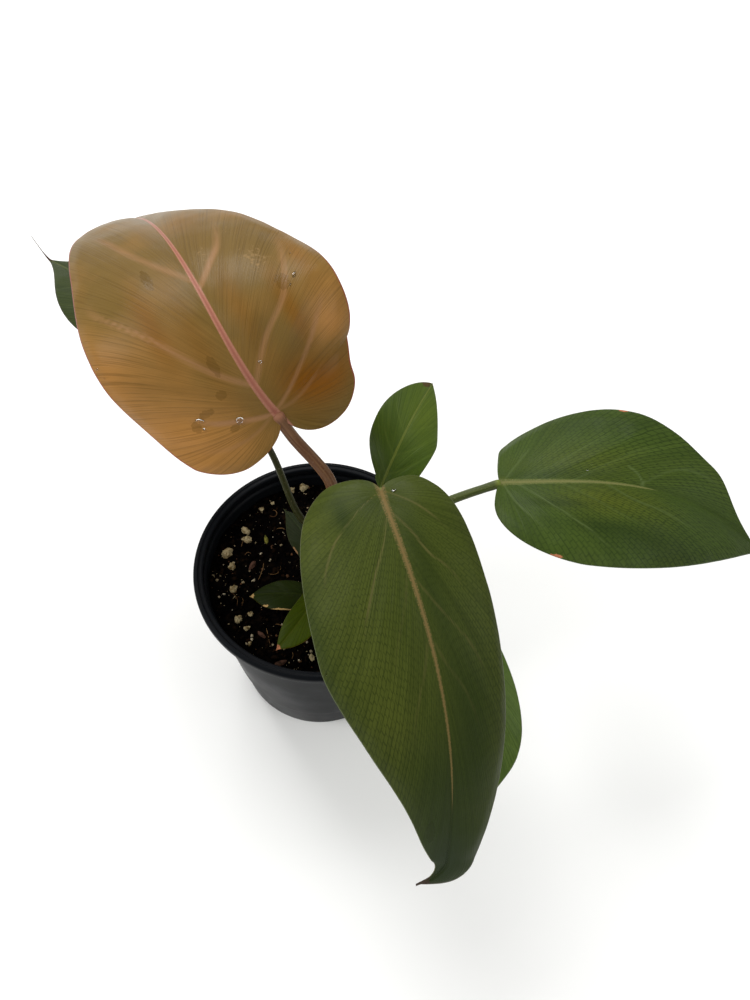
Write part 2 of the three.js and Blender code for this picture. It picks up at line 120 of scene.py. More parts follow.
def bezier(control: Array, t: Array) -> Array:
    """Bezier curve by repeated blending of neighbouring control points.

    Args:
        control: control points, the last two axes being point and coordinate.
        t: curve parameter, 0 to 1.

    Returns:
        One point for each value of t.
    """
    control = np.asarray(control, float)
    t = np.asarray(t, float)[..., None, None]
    while control.shape[-2] > 1:
        control = control[..., :-1, :] * (1 - t) + control[..., 1:, :] * t
    return control[..., 0, :]


def smooth_curve(points: list, count: int) -> Array:
    """Centripetal Catmull-Rom curve: Hermite pieces whose knots are spaced by the root of distance.

    Args:
        points: the points that the curve passes through.
        count: how many points to return.

    Returns:
        Points along the curve, evenly spaced in knot number.
    """
    p = np.asarray(points, float)
    p = np.vstack([2 * p[0] - p[1], p, 2 * p[-1] - p[-2]])
    knots = np.sqrt(np.linalg.norm(np.diff(p, axis=0), axis=1))
    place = np.linspace(0, len(points) - 1, count)
    k = np.minimum(place.astype(int), len(points) - 2)
    t = (place - k)[:, None]
    p0, p1, p2, p3 = p[k], p[k + 1], p[k + 2], p[k + 3]
    d0, d1, d2 = (knots[k + n][:, None] for n in range(3))
    leave = ((p1 - p0) / d0 - (p2 - p0) / (d0 + d1) + (p2 - p1) / d1) * d1
    arrive = ((p2 - p1) / d1 - (p3 - p1) / (d1 + d2) + (p3 - p2) / d2) * d1
    return (
        (2 * t**3 - 3 * t**2 + 1) * p1
        + (t**3 - 2 * t**2 + t) * leave
        + (3 * t**2 - 2 * t**3) * p2
        + (t**3 - t**2) * arrive
    )


def lattice_noise(points: Array, cell: float, seed: int) -> Array:
    """Smooth noise: random values on a cubic lattice, blended by smooth steps between corners.

    Args:
        points: places, the last axis being x, y and z.
        cell: spacing of the lattice, in the points' unit.
        seed: picks the lattice's random values.

    Returns:
        Noise from -1 to 1, one value for each place.
    """
    size = 32
    values = np.random.default_rng(seed).uniform(-1, 1, (size, size, size))
    place = np.asarray(points, float) / cell
    low = np.floor(place).astype(int)
    t = place - low
    t = t * t * (3 - 2 * t)
    total = np.zeros(place.shape[:-1])
    for corner in np.ndindex(2, 2, 2):
        weight = np.prod(np.where(np.array(corner) == 1, t, 1 - t), axis=-1)
        i, j, k = np.moveaxis((low + corner) % size, -1, 0)
        total += weight * values[i, j, k]
    return total


def bell(distance: Array, spread: Array | float) -> Array:
    """One at no distance, falling off smoothly on the scale of the spread."""
    return np.exp(-((distance / spread) ** 2))


def root(t: Array) -> Array:
    """Square root of t held between 0 and 1, which rounds an end off."""
    return np.sqrt(np.clip(t, 0, 1))


def spun(points: Array, angle: Array | float) -> Array:
    """Points turned about Z by an angle in radians."""
    x, y, z = np.moveaxis(points, -1, 0)
    c, s = np.cos(angle), np.sin(angle)
    return np.stack([x * c - y * s, x * s + y * c, z], axis=-1)


def circle(count: int) -> Array:
    """Angles evenly spaced round a circle, from zero."""
    return np.linspace(0, 2 * math.pi, count, endpoint=False)


def unit(v: Array) -> Array:
    """Vectors scaled to length one."""
    return v / np.linalg.norm(v, axis=-1, keepdims=True)


# ---------------------------------------------------------------- meshes


def link_object(name: str, data: bpy.types.ID) -> bpy.types.Object:
    """Puts a new object that shows the data into the scene."""
    shown = bpy.data.objects.new(name, data)
    bpy.context.scene.collection.objects.link(shown)
    return shown


@dataclass
class Surface:
    """Points in millimetres with four-sided faces, and facts that materials read at each point."""

    points: Array
    quads: NDArray[np.int64]
    facts: dict[str, Array] = field(default_factory=dict)

    @classmethod
    def from_grid(cls, points: Array, facts: dict[str, Array] | None = None) -> "Surface":
        """A surface on a grid of rows and columns, whose last column joins the first.

        Args:
            points: places, shaped rows by columns by three.
            facts: values at each grid point, by name.

        Returns:
            The surface, with coincident points still apart.
        """
        rows, columns = points.shape[:2]
        index = np.arange(rows * columns).reshape(rows, columns)
        index = np.hstack([index, index[:, :1]])
        corners = (index[:-1, :-1], index[:-1, 1:], index[1:, 1:], index[1:, :-1])
        flat = {name: v.reshape(rows * columns, *v.shape[2:]) for name, v in (facts or {}).items()}
        return cls(points.reshape(-1, 3), np.stack(corners, axis=-1).reshape(-1, 4), flat)

    @classmethod
    def join(cls, surfaces: list["Surface"]) -> "Surface":
        """Several surfaces with the same facts as one."""
        starts = np.cumsum([0] + [len(s.points) for s in surfaces[:-1]])
        return cls(
            np.concatenate([s.points for s in surfaces]),
            np.concatenate([s.quads + start for s, start in zip(surfaces, starts)]),
            {name: np.concatenate([s.facts[name] for s in surfaces]) for name in surfaces[0].facts},
        )

    def faces(self) -> tuple[Array, list[list[int]], NDArray[np.int64]]:
        """Welds coincident points and drops the faces that this folds flat.

        Returns:
            The points kept, the faces, and the index of each kept point in this surface.
        """
        _, first, inverse = np.unique(
            np.round(self.points, 4), axis=0, return_index=True, return_inverse=True
        )
        quads = inverse.reshape(-1)[self.quads]
        whole = np.all(np.diff(np.sort(quads, axis=1), axis=1) > 0, axis=1)
        folded = quads[~whole]
        halves = np.concatenate([folded[:, [0, 1, 2]], folded[:, [0, 2, 3]]])
        real = np.all(np.diff(np.sort(halves, axis=1), axis=1) > 0, axis=1)
        return self.points[first], quads[whole].tolist() + halves[real].tolist(), first

    def build(self, name: str, material: bpy.types.Material, slot: Slot, node: str = "") -> bpy.types.Object:
        """Makes the mesh object, in metres at the origin, with its faces outwards.

        Args:
            name: the piece's name.
            material: its finish.
            slot: the record's slot that the finish stands for; not used.
            node: the frame node that it takes the place of, if any.

        Returns:
            The object, riding on the plant's one body.
        """
        points, faces, kept = self.faces()
        mesh = bpy.data.meshes.new(name)
        mesh.from_pydata((points * MM).tolist(), [], faces)
        for fact, values in self.facts.items():
            kind, key = ("FLOAT", "value") if values.ndim == 1 else ("FLOAT_VECTOR", "vector")
            attribute = mesh.attributes.new(fact, kind, "POINT")
            attribute.data.foreach_set(key, values[kept].astype(np.float32).ravel())
        shell = bmesh.new()
        shell.from_mesh(mesh)
        bmesh.ops.recalc_face_normals(shell, faces=shell.faces)
        shell.to_mesh(mesh)
        shell.free()
        mesh.shade_smooth()
        mesh.materials.append(material)
        piece = link_object(name, mesh)
        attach(piece, BODY)
        if node:
            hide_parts(node)
        log.info("%s: %d points, %d faces", name, len(points), len(faces))
        return piece


def tube(centres: Array, radii: Array, sides: int) -> Surface:
    """A closed bar: rings square to a path, each at its own radius; a zero radius closes an end.

    Args:
        centres: points along the path.
        radii: one radius for each point, or one for each point and side.
        sides: points in a ring.

    Returns:
        The surface, whose grain fact holds the distance along, the distance round and the share along.
    """
    along = unit(np.gradient(centres, axis=0))
    middle = unit(along.mean(axis=0))
    helper = np.array([0.0, 0.0, 1.0]) if abs(middle[2]) < 0.7 else np.array([1.0, 0.0, 0.0])
    first = unit(np.cross(along, helper))
    second = np.cross(along, first)
    turn = circle(sides)
    radii = np.broadcast_to(radii.reshape(len(centres), -1), (len(centres), sides))
    rings = (
        centres[:, None]
        + first[:, None] * (radii * np.cos(turn))[..., None]
        + second[:, None] * (radii * np.sin(turn))[..., None]
    )
    run = np.concatenate([[0], np.cumsum(np.linalg.norm(np.diff(centres, axis=0), axis=1))])
    around = np.broadcast_to(turn, radii.shape) * radii.max()
    run = np.broadcast_to(run[:, None], radii.shape)
    grain = np.stack([run, around, run / run.max()], axis=-1)
    return Surface.from_grid(rings, {"grain": grain})


# ---------------------------------------------------------------- finishes

Tree = bpy.types.NodeTree
Socket = bpy.types.NodeSocket

FADE = {"interpolation_type": "SMOOTHSTEP"}
LEAF_FACTS = ("rib", "margin", "vein", "pull", "under", "warmth", "shade", "wet", "dry")
HALF_GAP = 300.0  # mm that sets the grain of a blade's right half apart from its left half's


def add_node(tree: Tree, kind: str, settings: dict[str, object] | None = None,
             inputs: dict[str | int, object] | None = None, out: str | int = 0) -> Socket | None:
    """Adds one node with its settings and links.

    Args:
        tree: the material's node tree.
        kind: the node's type name.
        settings: node properties by name.
        inputs: a value or another node's output socket for each input named or numbered.
        out: the output wanted.

    Returns:
        That output socket, or none where the node has no outputs.
    """
    node = tree.nodes.new(kind)
    for name, value in (settings or {}).items():
        setattr(node, name, value)
    for name, value in (inputs or {}).items():
        if isinstance(value, Socket):
            tree.links.new(value, node.inputs[name])
        else:
            node.inputs[name].default_value = value
    return node.outputs[out] if len(node.outputs) else None


def layered(tree: Tree, ground: str, layers: list[tuple[Socket, str | Socket]]) -> Socket:
    """Lays colours over a ground colour, one after another.

    Args:
        tree: the material's node tree.
        ground: the lowest colour, in hex.
        layers: how much of each layer shows, and its colour in hex or as a socket.

    Returns:
        The colour that shows.
    """
    colour = linear(ground)
    for amount, paint in layers:
        top = linear(paint) if isinstance(paint, str) else paint
        # a colour mix has its factor at input 0, its colours at 6 and 7, and its result at output 2
        colour = add_node(tree, "ShaderNodeMix", {"data_type": "RGBA"}, {0: amount, 6: colour, 7: top}, 2)
    return colour


@dataclass(frozen=True)
class Finish:
    """A surface finish: its own nodes feed one Principled shader."""

    name: str

    def build(self) -> bpy.types.Material:
        """The material, with its patterns in the object's own place."""
        material = bpy.data.materials.new(self.name)
        material.use_nodes = True
        tree = material.node_tree
        tree.nodes.clear()
        place = add_node(tree, "ShaderNodeTexCoord", out="Object")
        shader = add_node(tree, "ShaderNodeBsdfPrincipled", inputs=self.surface(tree, place))
        add_node(tree, "ShaderNodeOutputMaterial", inputs={"Surface": shader})
        return material

    def surface(self, tree: Tree, place: Socket) -> dict[str, object]:
        """The shader's inputs, by name; each finish has its own."""
        raise NotImplementedError


@dataclass(frozen=True)
class LeafCuticle(Finish):
    """Leaf tissue under a thin waxy cuticle: satin gloss above, matt below, streaked along its veins.

    Colours are sRGB hex; strengths run from 0 to 1.
    """

    ground: str
    warm: str
    # deep: the leaf's own darker tone, also laid as painted shade on the front leaf
    deep: str
    rib: str
    rib_core: str
    lateral: str
    margin: str
    under: str
    stripe: str
    # colour of dead, dried tissue; on the bronze leaf, of a painted sheen
    dry: str = "A9794B"
    roughness: float = 0.4
    gloss: float = 0.1
    coat: float = 0.0
    streak: float = 0.3
    line: float = 0.35
    net: float = 0.0
    rib_grain: float = 0.2
    lateral_width: float = 0.7  # mm
    margin_width: float = 0.5  # mm

    def surface(self, tree: Tree, place: Socket) -> dict[str, object]:
        """Patterns that follow the blade's own veins, from the facts at its points."""
        grain = add_node(tree, "ShaderNodeAttribute", {"attribute_name": "grain"}, out="Vector")
        fact = {name: add_node(tree, "ShaderNodeAttribute", {"attribute_name": name}, out="Fac")
                for name in LEAF_FACTS}
        # streaks 5 mm apart and lines 0.7 mm apart, both drawn out along the veins
        broad, narrow = (add_node(tree, "ShaderNodeMapping", inputs={"Vector": grain, "Scale": scale})
                         for scale in ((1 / 70, 1 / 5.0, 1), (1 / 45, 1 / 0.7, 1)))
        noise = {
            name: add_node(tree, "ShaderNodeTexNoise", {"noise_dimensions": kind},
                           {"Vector": vector, "Scale": scale, "Detail": detail, "Roughness": rough})
            for name, kind, vector, scale, detail, rough in (
                ("streak", "2D", broad, 1.0, 3.0, 0.6), ("line", "2D", narrow, 1.0, 2.0, 0.5),
                ("cloud", "3D", place, 42.0, 3.0, 0.5), ("speck", "3D", place, 900.0, 2.0, 0.5),
                ("scurf", "3D", place, 2300.0, 1.0, 0.5),
            )
        }
        varied = {}
        for name, source, span in (("warmth", "cloud", 0.8), ("dry", "speck", 0.9), ("wet", "speck", 0.7)):
            lift = add_node(tree, "ShaderNodeMath", {"operation": "MULTIPLY_ADD"},
                            {0: noise[source], 1: span, 2: -span / 2})
            varied[name] = add_node(tree, "ShaderNodeMath", {"operation": "ADD", "use_clamp": True},
                                    {0: fact[name], 1: lift})
        mask = {
            name: add_node(tree, "ShaderNodeMapRange", FADE, {
                "Value": value, "From Min": low, "From Max": high, "To Min": first, "To Max": last})
            for name, value, low, high, first, last in (
                ("streak", noise["streak"], 0.42, 0.72, 0.0, self.streak),
                ("line", noise["line"], 0.52, 0.7, 0.0, self.line),
                ("lateral", fact["vein"], 0.15, self.lateral_width, 1.0, 0.0),
                ("core", fact["rib"], 0.1, 0.75, 1.0, 0.0),
                ("grit", noise["scurf"], 0.45, 0.6, 0.0, self.rib_grain),
                ("rib", fact["rib"], 0.8, 1.15, 1.0, 0.0),
                ("margin", fact["margin"], 0.3 * self.margin_width, self.margin_width, 0.85, 0.0),
                # dead tissue, and on the bronze leaf painted sheen: rougher, in the dry-and-sheen colour
                ("dead_and_sheen", varied["dry"], 0.35, 0.55, 0.0, 1.0),
                ("soaked", varied["wet"], 0.45, 0.55, 0.0, 0.32),
                ("rough", noise["cloud"], 0.3, 0.7, self.roughness - 0.05, self.roughness + 0.06),
            )
        }
        lateral, core, matt, rough, height = (
            add_node(tree, "ShaderNodeMath", {"operation": operation}, dict(enumerate(terms)))
            for operation, terms in (
                ("MULTIPLY", (mask["lateral"], fact["pull"])),
                ("MAXIMUM", (mask["core"], mask["grit"])),
                ("MAXIMUM", (fact["under"], mask["dead_and_sheen"])),
                ("MULTIPLY_ADD", (mask["soaked"], -0.5, mask["rough"])),
                ("MULTIPLY_ADD", (noise["streak"], 0.6, noise["line"])),
            )
        )
        rough = add_node(tree, "ShaderNodeMath", {"operation": "MULTIPLY_ADD", "use_clamp": True},
                         {0: matt, 1: 0.25, 2: rough})
        net = [(self.netting(tree, grain, noise["speck"]), self.stripe)] if self.net else []
        # the deep colour goes on the tone-and-shade patches: the leaf's own darker tone, and painted shade on
        # the front leaf's flank and tip
        colour = layered(tree, self.ground, [
            (varied["warmth"], self.warm), (fact["shade"], self.deep), (mask["streak"], self.stripe),
            (mask["line"], self.stripe), *net, (lateral, self.lateral),
            (mask["rib"], layered(tree, self.rib, [(core, self.rib_core)])), (mask["margin"], self.margin),
            # the dry-and-sheen layer is dead tissue, and on the bronze leaf a painted sheen
            (fact["under"], self.under), (mask["dead_and_sheen"], self.dry), (mask["soaked"], self.stripe),
        ])
        bump = add_node(tree, "ShaderNodeBump",
                        inputs={"Height": height, "Strength": 0.55, "Distance": 0.00022})
        return {"Base Color": colour, "Roughness": rough, "Normal": bump, "Specular IOR Level": self.gloss,
                "Coat Weight": self.coat, "Coat Roughness": 0.28}

    def netting(self, tree: Tree, grain: Socket, speck: Socket) -> Socket:
        """A net of parallel veins 2 mm apart joined by short cross veins, fainter near the stalk.

        Args:
            tree: the node tree.
            grain: distance along and across the veins, in mm.
            speck: fine noise that varies the net's strength.

        Returns:
            How much of the net shows.
        """
        wobble = add_node(tree, "ShaderNodeTexNoise", {"noise_dimensions": "2D"},
                          {"Vector": grain, "Scale": 0.16, "Detail": 2.0}, "Color")
        bent = add_node(tree, "ShaderNodeVectorMath", {"operation": "MULTIPLY_ADD"},
                        {0: wobble, 1: (2.6, 1.3, 0.0), 2: grain})
        net = add_node(tree, "ShaderNodeTexBrick", inputs={
            "Vector": bent, "Scale": 1.0, "Brick Width": 3.0, "Row Height": 2.0,
            "Mortar Size": 0.4, "Mortar Smooth": 0.9,
        }, out="Fac")
        run = add_node(tree, "ShaderNodeSeparateXYZ", inputs={0: grain}, out="Y")
        run = add_node(tree, "ShaderNodeMath", {"operation": "MODULO"}, {0: run, 1: HALF_GAP})
        for value, low, high, least in ((speck, 0.3, 0.6, 0.4), (run, 10.0, 85.0, 0.4)):
            share = add_node(tree, "ShaderNodeMapRange", FADE,
                             {"Value": value, "From Min": low, "From Max": high, "To Min": least})
            net = add_node(tree, "ShaderNodeMath", {"operation": "MULTIPLY"}, {0: net, 1: share})
        return add_node(tree, "ShaderNodeMath", {"operation": "MULTIPLY"}, {0: net, 1: self.net})


@dataclass(frozen=True)
class StalkSkin(Finish):
    """Smooth leaf-stalk skin: satin, striped along its own length, with scattered pale pores."""

    ground: str
    stripe: str
    top: str
    roughness: float = 0.42

    def surface(self, tree: Tree, place: Socket) -> dict[str, object]:
        """Fine stripes and pores, and the blade's colour at the very top."""
        grain = add_node(tree, "ShaderNodeAttribute", {"attribute_name": "grain"}, out="Vector")
        drawn = add_node(tree, "ShaderNodeMapping", inputs={"Vector": grain, "Scale": (1 / 18, 1 / 0.9, 1)})
        stripe = add_node(tree, "ShaderNodeTexNoise", {"noise_dimensions": "2D"},
                          {"Vector": drawn, "Scale": 1.0, "Detail": 3.0})
        pore = add_node(tree, "ShaderNodeTexNoise", inputs={"Vector": place, "Scale": 1400.0, "Detail": 1.0})
        share = add_node(tree, "ShaderNodeSeparateXYZ", inputs={0: grain}, out="Z")
        colour = layered(tree, self.ground, [
            (add_node(tree, "ShaderNodeMapRange", FADE,
                      {"Value": value, "From Min": low, "From Max": high, "To Max": most}), paint)
            for value, low, high, most, paint in (
                (stripe, 0.3, 0.8, 0.8, self.stripe), (pore, 0.6, 0.75, 0.12, "B9A888"),
                (share, 0.955, 0.995, 1.0, self.top),
            )
        ])
        bump = add_node(tree, "ShaderNodeBump",
                        inputs={"Height": stripe, "Strength": 0.5, "Distance": 0.00015})
        return {"Base Color": colour, "Roughness": self.roughness, "Normal": bump, "Specular IOR Level": 0.15}


@dataclass(frozen=True)
class MouldedPolypropylene(Finish):
    """Injection-moulded black polypropylene: satin, faintly streaked by the mould, dusty in places."""

    name: str = "moulded_polypropylene"
    ground: str = "101215"
    dust: str = "1C1C1B"
    roughness: float = 0.34

    def surface(self, tree: Tree, place: Socket) -> dict[str, object]:
        """Dust in clouds, and streaks that are long in Z, as the melt flows down the wall."""
        flow = add_node(tree, "ShaderNodeMapping", inputs={"Vector": place, "Scale": (240.0, 240.0, 14.0)})
        cloud, grit, streak = (
            add_node(tree, "ShaderNodeTexNoise", inputs={"Vector": vector, "Scale": scale, "Detail": detail})
            for vector, scale, detail in ((place, 28.0, 4.0), (place, 700.0, 2.0), (flow, 1.0, 2.0))
        )
        dusty = add_node(tree, "ShaderNodeMath", {"operation": "MULTIPLY"}, {0: cloud, 1: grit})
        dusty = add_node(tree, "ShaderNodeMapRange", FADE,
                         {"Value": dusty, "From Min": 0.22, "From Max": 0.42, "To Max": 0.4})
        rough = add_node(tree, "ShaderNodeMapRange", FADE, {
            "Value": cloud, "From Min": 0.3, "From Max": 0.7,
            "To Min": self.roughness - 0.05, "To Max": self.roughness + 0.1,
        })
        bump = add_node(tree, "ShaderNodeBump",
                        inputs={"Height": streak, "Strength": 0.35, "Distance": 0.00012})
        return {"Base Color": layered(tree, self.ground, [(dusty, self.dust)]), "Roughness": rough,
                "Normal": bump, "Specular IOR Level": 0.038}


@dataclass(frozen=True)
class Granular(Finish):
    """A rough mineral or plant lump: two colours in small patches under a pitted, dull surface."""

    ground: str
    patch: str
    grain: float = 1.0  # mm, size of the patches
    roughness: float = 0.9
    gloss: float = 0.15
    pit: float = 0.0003  # m, depth of the pits
    share: float = 0.5  # part of the surface in the patch colour

    def surface(self, tree: Tree, place: Socket) -> dict[str, object]:
        """Patches of the second colour, and finer pits."""
        patch, pit = (
            add_node(tree, "ShaderNodeTexNoise",
                     inputs={"Vector": place, "Scale": times / (self.grain * MM), "Detail": detail})
            for times, detail in ((1.0, 4.0), (2.5, 3.0))
        )
        mask = add_node(tree, "ShaderNodeMapRange", FADE,
                        {"Value": patch, "From Min": 0.85 - self.share, "From Max": 1.05 - self.share})
        bump = add_node(tree, "ShaderNodeBump",
                        inputs={"Height": pit, "Strength": 0.7, "Distance": self.pit})
        return {"Base Color": layered(tree, self.ground, [(mask, self.patch)]), "Roughness": self.roughness,
                "Normal": bump, "Specular IOR Level": self.gloss}


@dataclass(frozen=True)
class Water(Finish):
    """Clear water standing on a waxy leaf: a bright glint and the leaf seen through it."""

    name: str = "water_drop"

    def surface(self, tree: Tree, place: Socket) -> dict[str, object]:
        """Clear all through, with no pattern."""
        return {"Base Color": linear("FFFFFF"), "Roughness": 0.03, "IOR": 1.33, "Transmission Weight": 1.0}


@dataclass(frozen=True)
class StudioPaint(Finish):
    """Matt white emulsion on the studio floor: even and pale, with a faint roller texture."""

    name: str = "studio_emulsion"
    ground: str = "F4F4F2"

    def surface(self, tree: Tree, place: Socket) -> dict[str, object]:
        """One colour over a fine texture."""
        roller = add_node(tree, "ShaderNodeTexNoise", inputs={"Vector": place, "Scale": 500.0})
        bump = add_node(tree, "ShaderNodeBump",
                        inputs={"Height": roller, "Strength": 0.1, "Distance": 0.0001})
        return {"Base Color": linear(self.ground), "Roughness": 0.9, "Normal": bump}


# ---------------------------------------------------------------- leaf blades

BLADE_THICKNESS = 0.6
BASAL_FAN = 0.2  # share of the margin whose veins all start at the attachment
LOBE_END = 0.45  # margin parameter of the widest place
DRIP_START = 0.94  # station where a drip tip starts to bend off the midrib's curve
SWEPT_STRENGTH = 0.4  # how plainly the side veins of the smaller leaves show
QUILT_REACH = 6  # mm from a side vein over which the blade bulges up
VEIN_DEPTH, VEIN_HALF = 0.28, 1.1  # mm, the groove over a side vein
RIB_DEPTH = 0.3  # mm, the hollow that the midrib lies in
COARSE_CELL, FINE_CELL = 15, 5  # mm, cells of the noise that makes a blade uneven
KEEL = 0.75  # how far the midrib stands out below, as a share of its half-width
QUARTER_HANDLE = 0.5523  # handle length that makes a cubic curve a quarter ellipse


@dataclass(frozen=True)
class Half:
    """One half's outline: width in mm; the rest are shares of the midrib's length or of the width."""

    width: float
    lobe: float
    back: float
    widest: float
    full: float
    point: float
    bay: tuple[float, float, float] = (0.5, 0.0, 0.1)  # place, depth, spread of a dip in the margin

    def margin(self, v: Array) -> Array:
        """Three cubic curves: notch to lobe's back, lobe's back to widest place, and on to the tip.

        Args:
            v: margin parameter, 0 at the notch and 1 at the tip.

        Returns:
            Share of the length along the midrib, and mm out from it.
        """
        w = self.width
        curves = np.array([
            [[0, 0], [-0.7 * self.lobe, 0], [-self.lobe, 0.45 * self.back * w], [-self.lobe, self.back * w]],
            [[-self.lobe, self.back * w], [-self.lobe, mix(self.back, 1, QUARTER_HANDLE) * w],
             [self.widest - QUARTER_HANDLE * (self.widest + self.lobe), w], [self.widest, w]],
            [[self.widest, w], [self.widest + self.full * (1 - self.widest), w], [1 - self.point, 0], [1, 0]],
        ])
        ends = np.array([0, BASAL_FAN, LOBE_END, 1.0])
        k = np.clip(np.searchsorted(ends, v, side="right") - 1, 0, 2)
        out = bezier(curves[k], (v - ends[k]) / (ends[k + 1] - ends[k]))
        place, depth, spread = self.bay
        out[..., 1] *= 1 - depth * bell(v - place, spread)
        return out

    def flat(self, u: Array, v: Array, sweep: float) -> Array:
        """A point of the flattened half, u of the way along the vein that ends at v on the margin."""
        start = np.maximum(0, (v - BASAL_FAN) / (1 - BASAL_FAN)) ** sweep
        end = self.margin(v)
        bend = np.stack([mix(start, end[..., 0], 0.6), 0.5 * end[..., 1]], axis=-1)
        inner = np.stack([start, np.zeros_like(start)], axis=-1)
        return bezier(np.stack([inner, bend, end], axis=-2), u)


@dataclass(frozen=True)
class Spot:
    """A patch of a blade in mm: along the midrib, out from it (left below zero), and its two radii."""

    along: float
    out: float
    long: float
    wide: float
    weight: float = 1.0

    def at(self, along: Array, out: Array) -> Array:
        """The patch's strength: a bell over both distances."""
        apart = ((along - self.along) / self.long) ** 2 + ((out - self.out) / self.wide) ** 2
        return self.weight * np.exp(-apart)


@dataclass(frozen=True)
class Lateral:
    """A side vein: the points it passes through, in mm along and out (left below zero)."""

    route: list[tuple[float, float]]
    strength: float


def spots(*rows: tuple[float, ...]) -> tuple[Spot, ...]:
    """Patches from rows of their numbers."""
    return tuple(Spot(*row) for row in rows)


def laterals(*rows: tuple) -> tuple[Lateral, ...]:
    """Side veins from rows that hold a strength and then the points."""
    return tuple(Lateral(route, strength) for strength, *route in rows)


def swept_laterals(starts: tuple[float, ...], reach: float, width: float) -> tuple[Lateral, ...]:
    """Side veins on both halves that leave the midrib at a slant and sweep towards the tip.

    Args:
        starts: where they leave, in mm along the midrib.
        reach: how far forward each one runs, in mm.
        width: how far out each one runs, in mm.

    Returns:
        The veins, left and right in turn.
    """
    shape = ((0.0, 0.0), (0.25, 0.35), (0.6, 0.72), (1.0, 0.95))
    return tuple(
        Lateral([(start + reach * a, side * width * b) for a, b in shape], SWEPT_STRENGTH)
        for start in starts
        for side in (-1, 1)
    )


@dataclass(frozen=True)
class Blade:
    """A leaf blade: its shape as in the frame, its relief, and where its colours change."""

    name: str
    finish: LeafCuticle
    slot: Slot
    rib: tuple[Point, Point, Point, Point]
    face: tuple[Point, Point]
    left: Half
    right: Half
    fold: tuple[float, float]
    roll_left: tuple[float, float]
    roll_right: tuple[float, float]
    wave: tuple[float, float, float, float]  # height, cycles, right half's lead, phase
    drip: Point = (0.0, 0.0, 0.0)
    rows: int = 150
    columns: int = 30
    sweep: float = 3.0  # above 1, veins leave the midrib nearer the base and sweep forward
    rib_width: tuple[float, float] = (1.0, 0.3)  # half-width at base and tip, mm
    rib_length: float = 1.0  # share of the midrib that shows as a band
    rib_rise: float = 0.15
    quilt: float = 0.5
    uneven: float = 0.35
    laterals: tuple[Lateral, ...] = ()
    warmth: tuple[Spot, ...] = ()
    # darker patches: the leaf's own darker tone, and on the front leaf painted shade
    shade: tuple[Spot, ...] = ()
    wet: tuple[Spot, ...] = ()
    # patches of dead, dried tissue; on the bronze leaf, pale patches of painted sheen
    dry: tuple[Spot, ...] = ()
    seed: int = 1

    def length(self) -> float:
        """Length of the midrib's curve, in mm."""
        line = bezier(np.array(self.rib), np.linspace(0, 1, 200))
        return float(np.linalg.norm(np.diff(line, axis=0), axis=1).sum())

    def rib_frame(self, station: Array) -> tuple[Array, Array, Array]:
        """The midrib's point, upward normal and rightward direction at each station.

        Args:
            station: share of the length, below zero behind the attachment.

        Returns:
            Origin, up and across.
        """
        rib = np.array(self.rib)
        s = np.clip(station, 0, 1)
        step = 0.001
        low = np.clip(s - step, 0, 1 - 2 * step)
        slope = (bezier(rib, low + 2 * step) - bezier(rib, low)) / (2 * step)
        back = (bezier(rib, np.array(step)) - rib[0]) / step
        reach = 1 - DRIP_START
        k = np.maximum(0, (s - DRIP_START) / reach)[..., None]
        drip = np.array(self.drip)
        origin = bezier(rib, s) + back * np.minimum(station, 0)[..., None] + drip * k * k
        along = unit(slope + drip * 2 * k / reach)
        up = mix(np.array(self.face[0]), np.array(self.face[1]), s[..., None])
        up = unit(up - along * (up * along).sum(axis=-1, keepdims=True))
        return origin, up, np.cross(along, up)

    def place(self, side: int, u: Array, v: Array) -> tuple[Array, Array, Array]:
        """A point of the middle surface: folded up from the midrib, then rolled on a circular arc.

        Args:
            side: -1 for the left half, 1 for the right.
            u: share of the way out along a vein.
            v: the margin parameter that the vein ends at.

        Returns:
            The point, the normal there, and the flattened point (mm along, mm out, unsigned).
        """
        half = self.left if side < 0 else self.right
        roll = self.roll_left if side < 0 else self.roll_right
        flat = half.flat(u, v, self.sweep)
        s = np.clip(flat[..., 0], 0, 1)
        origin, up, across = self.rib_frame(flat[..., 0])
        fold = np.radians(mix(self.fold[0], self.fold[1], s))
        curl = np.radians(mix(roll[0], roll[1], s)) / half.width
        turned = fold + curl * flat[..., 1]
        height, cycles, lead, phase = self.wave
        turns = cycles * flat[..., 0] + (lead if side > 0 else 0) + phase
        lift = height * (flat[..., 1] / half.width) ** 2 * np.sin(2 * math.pi * turns)
        out = (np.sin(turned) - np.sin(fold)) / curl
        rise = (np.cos(fold) - np.cos(turned)) / curl + lift
        point = origin + across * (side * out)[..., None] + up * rise[..., None]
        normal = up * np.cos(turned)[..., None] - across * (side * np.sin(turned))[..., None]
        return point, normal, flat * np.array([self.length(), 1])

    def veins(self, along: Array, out: Array) -> tuple[Array, Array]:
        """Distance to the nearest side vein, and how strongly that vein shows there.

        Args:
            along: mm along the midrib.
            out: mm out from it, left below zero.

        Returns:
            The distance in mm, and the strength.
        """
        nearest = np.full(along.shape, 99.0)
        pull = np.zeros(along.shape)
        for vein in self.laterals:
            line = smooth_curve([(a, o, 0) for a, o in vein.route], 40)
            gaps = np.hypot(along[..., None] - line[:, 0], out[..., None] - line[:, 1])
            gap = gaps.min(axis=-1)
            progress = gaps.argmin(axis=-1) / (len(line) - 1)
            closer = gap < nearest
            pull = np.where(closer, vein.strength * (1 - smooth(progress, 0.55, 1.0)), pull)
            nearest = np.where(closer, gap, nearest)
        return nearest, pull

    def half_sheet(self, side: int, u: Array, v: Array) -> dict[str, Array]:
        """One half of the blade: relief added to the middle surface, and the facts for its finish.

        Args:
            side: -1 for the left half, 1 for the right.
            u: grid of shares of the way out.
            v: grid of margin parameters.

        Returns:
            Upper and lower points and each fact, as arrays on the grid.
        """
        half = self.left if side < 0 else self.right
        length = self.length()

        def laid_flat(share: Array, at: Array) -> Array:
            """A point of the flattened half, in mm."""
            return half.flat(share, at, self.sweep) * np.array([length, 1])

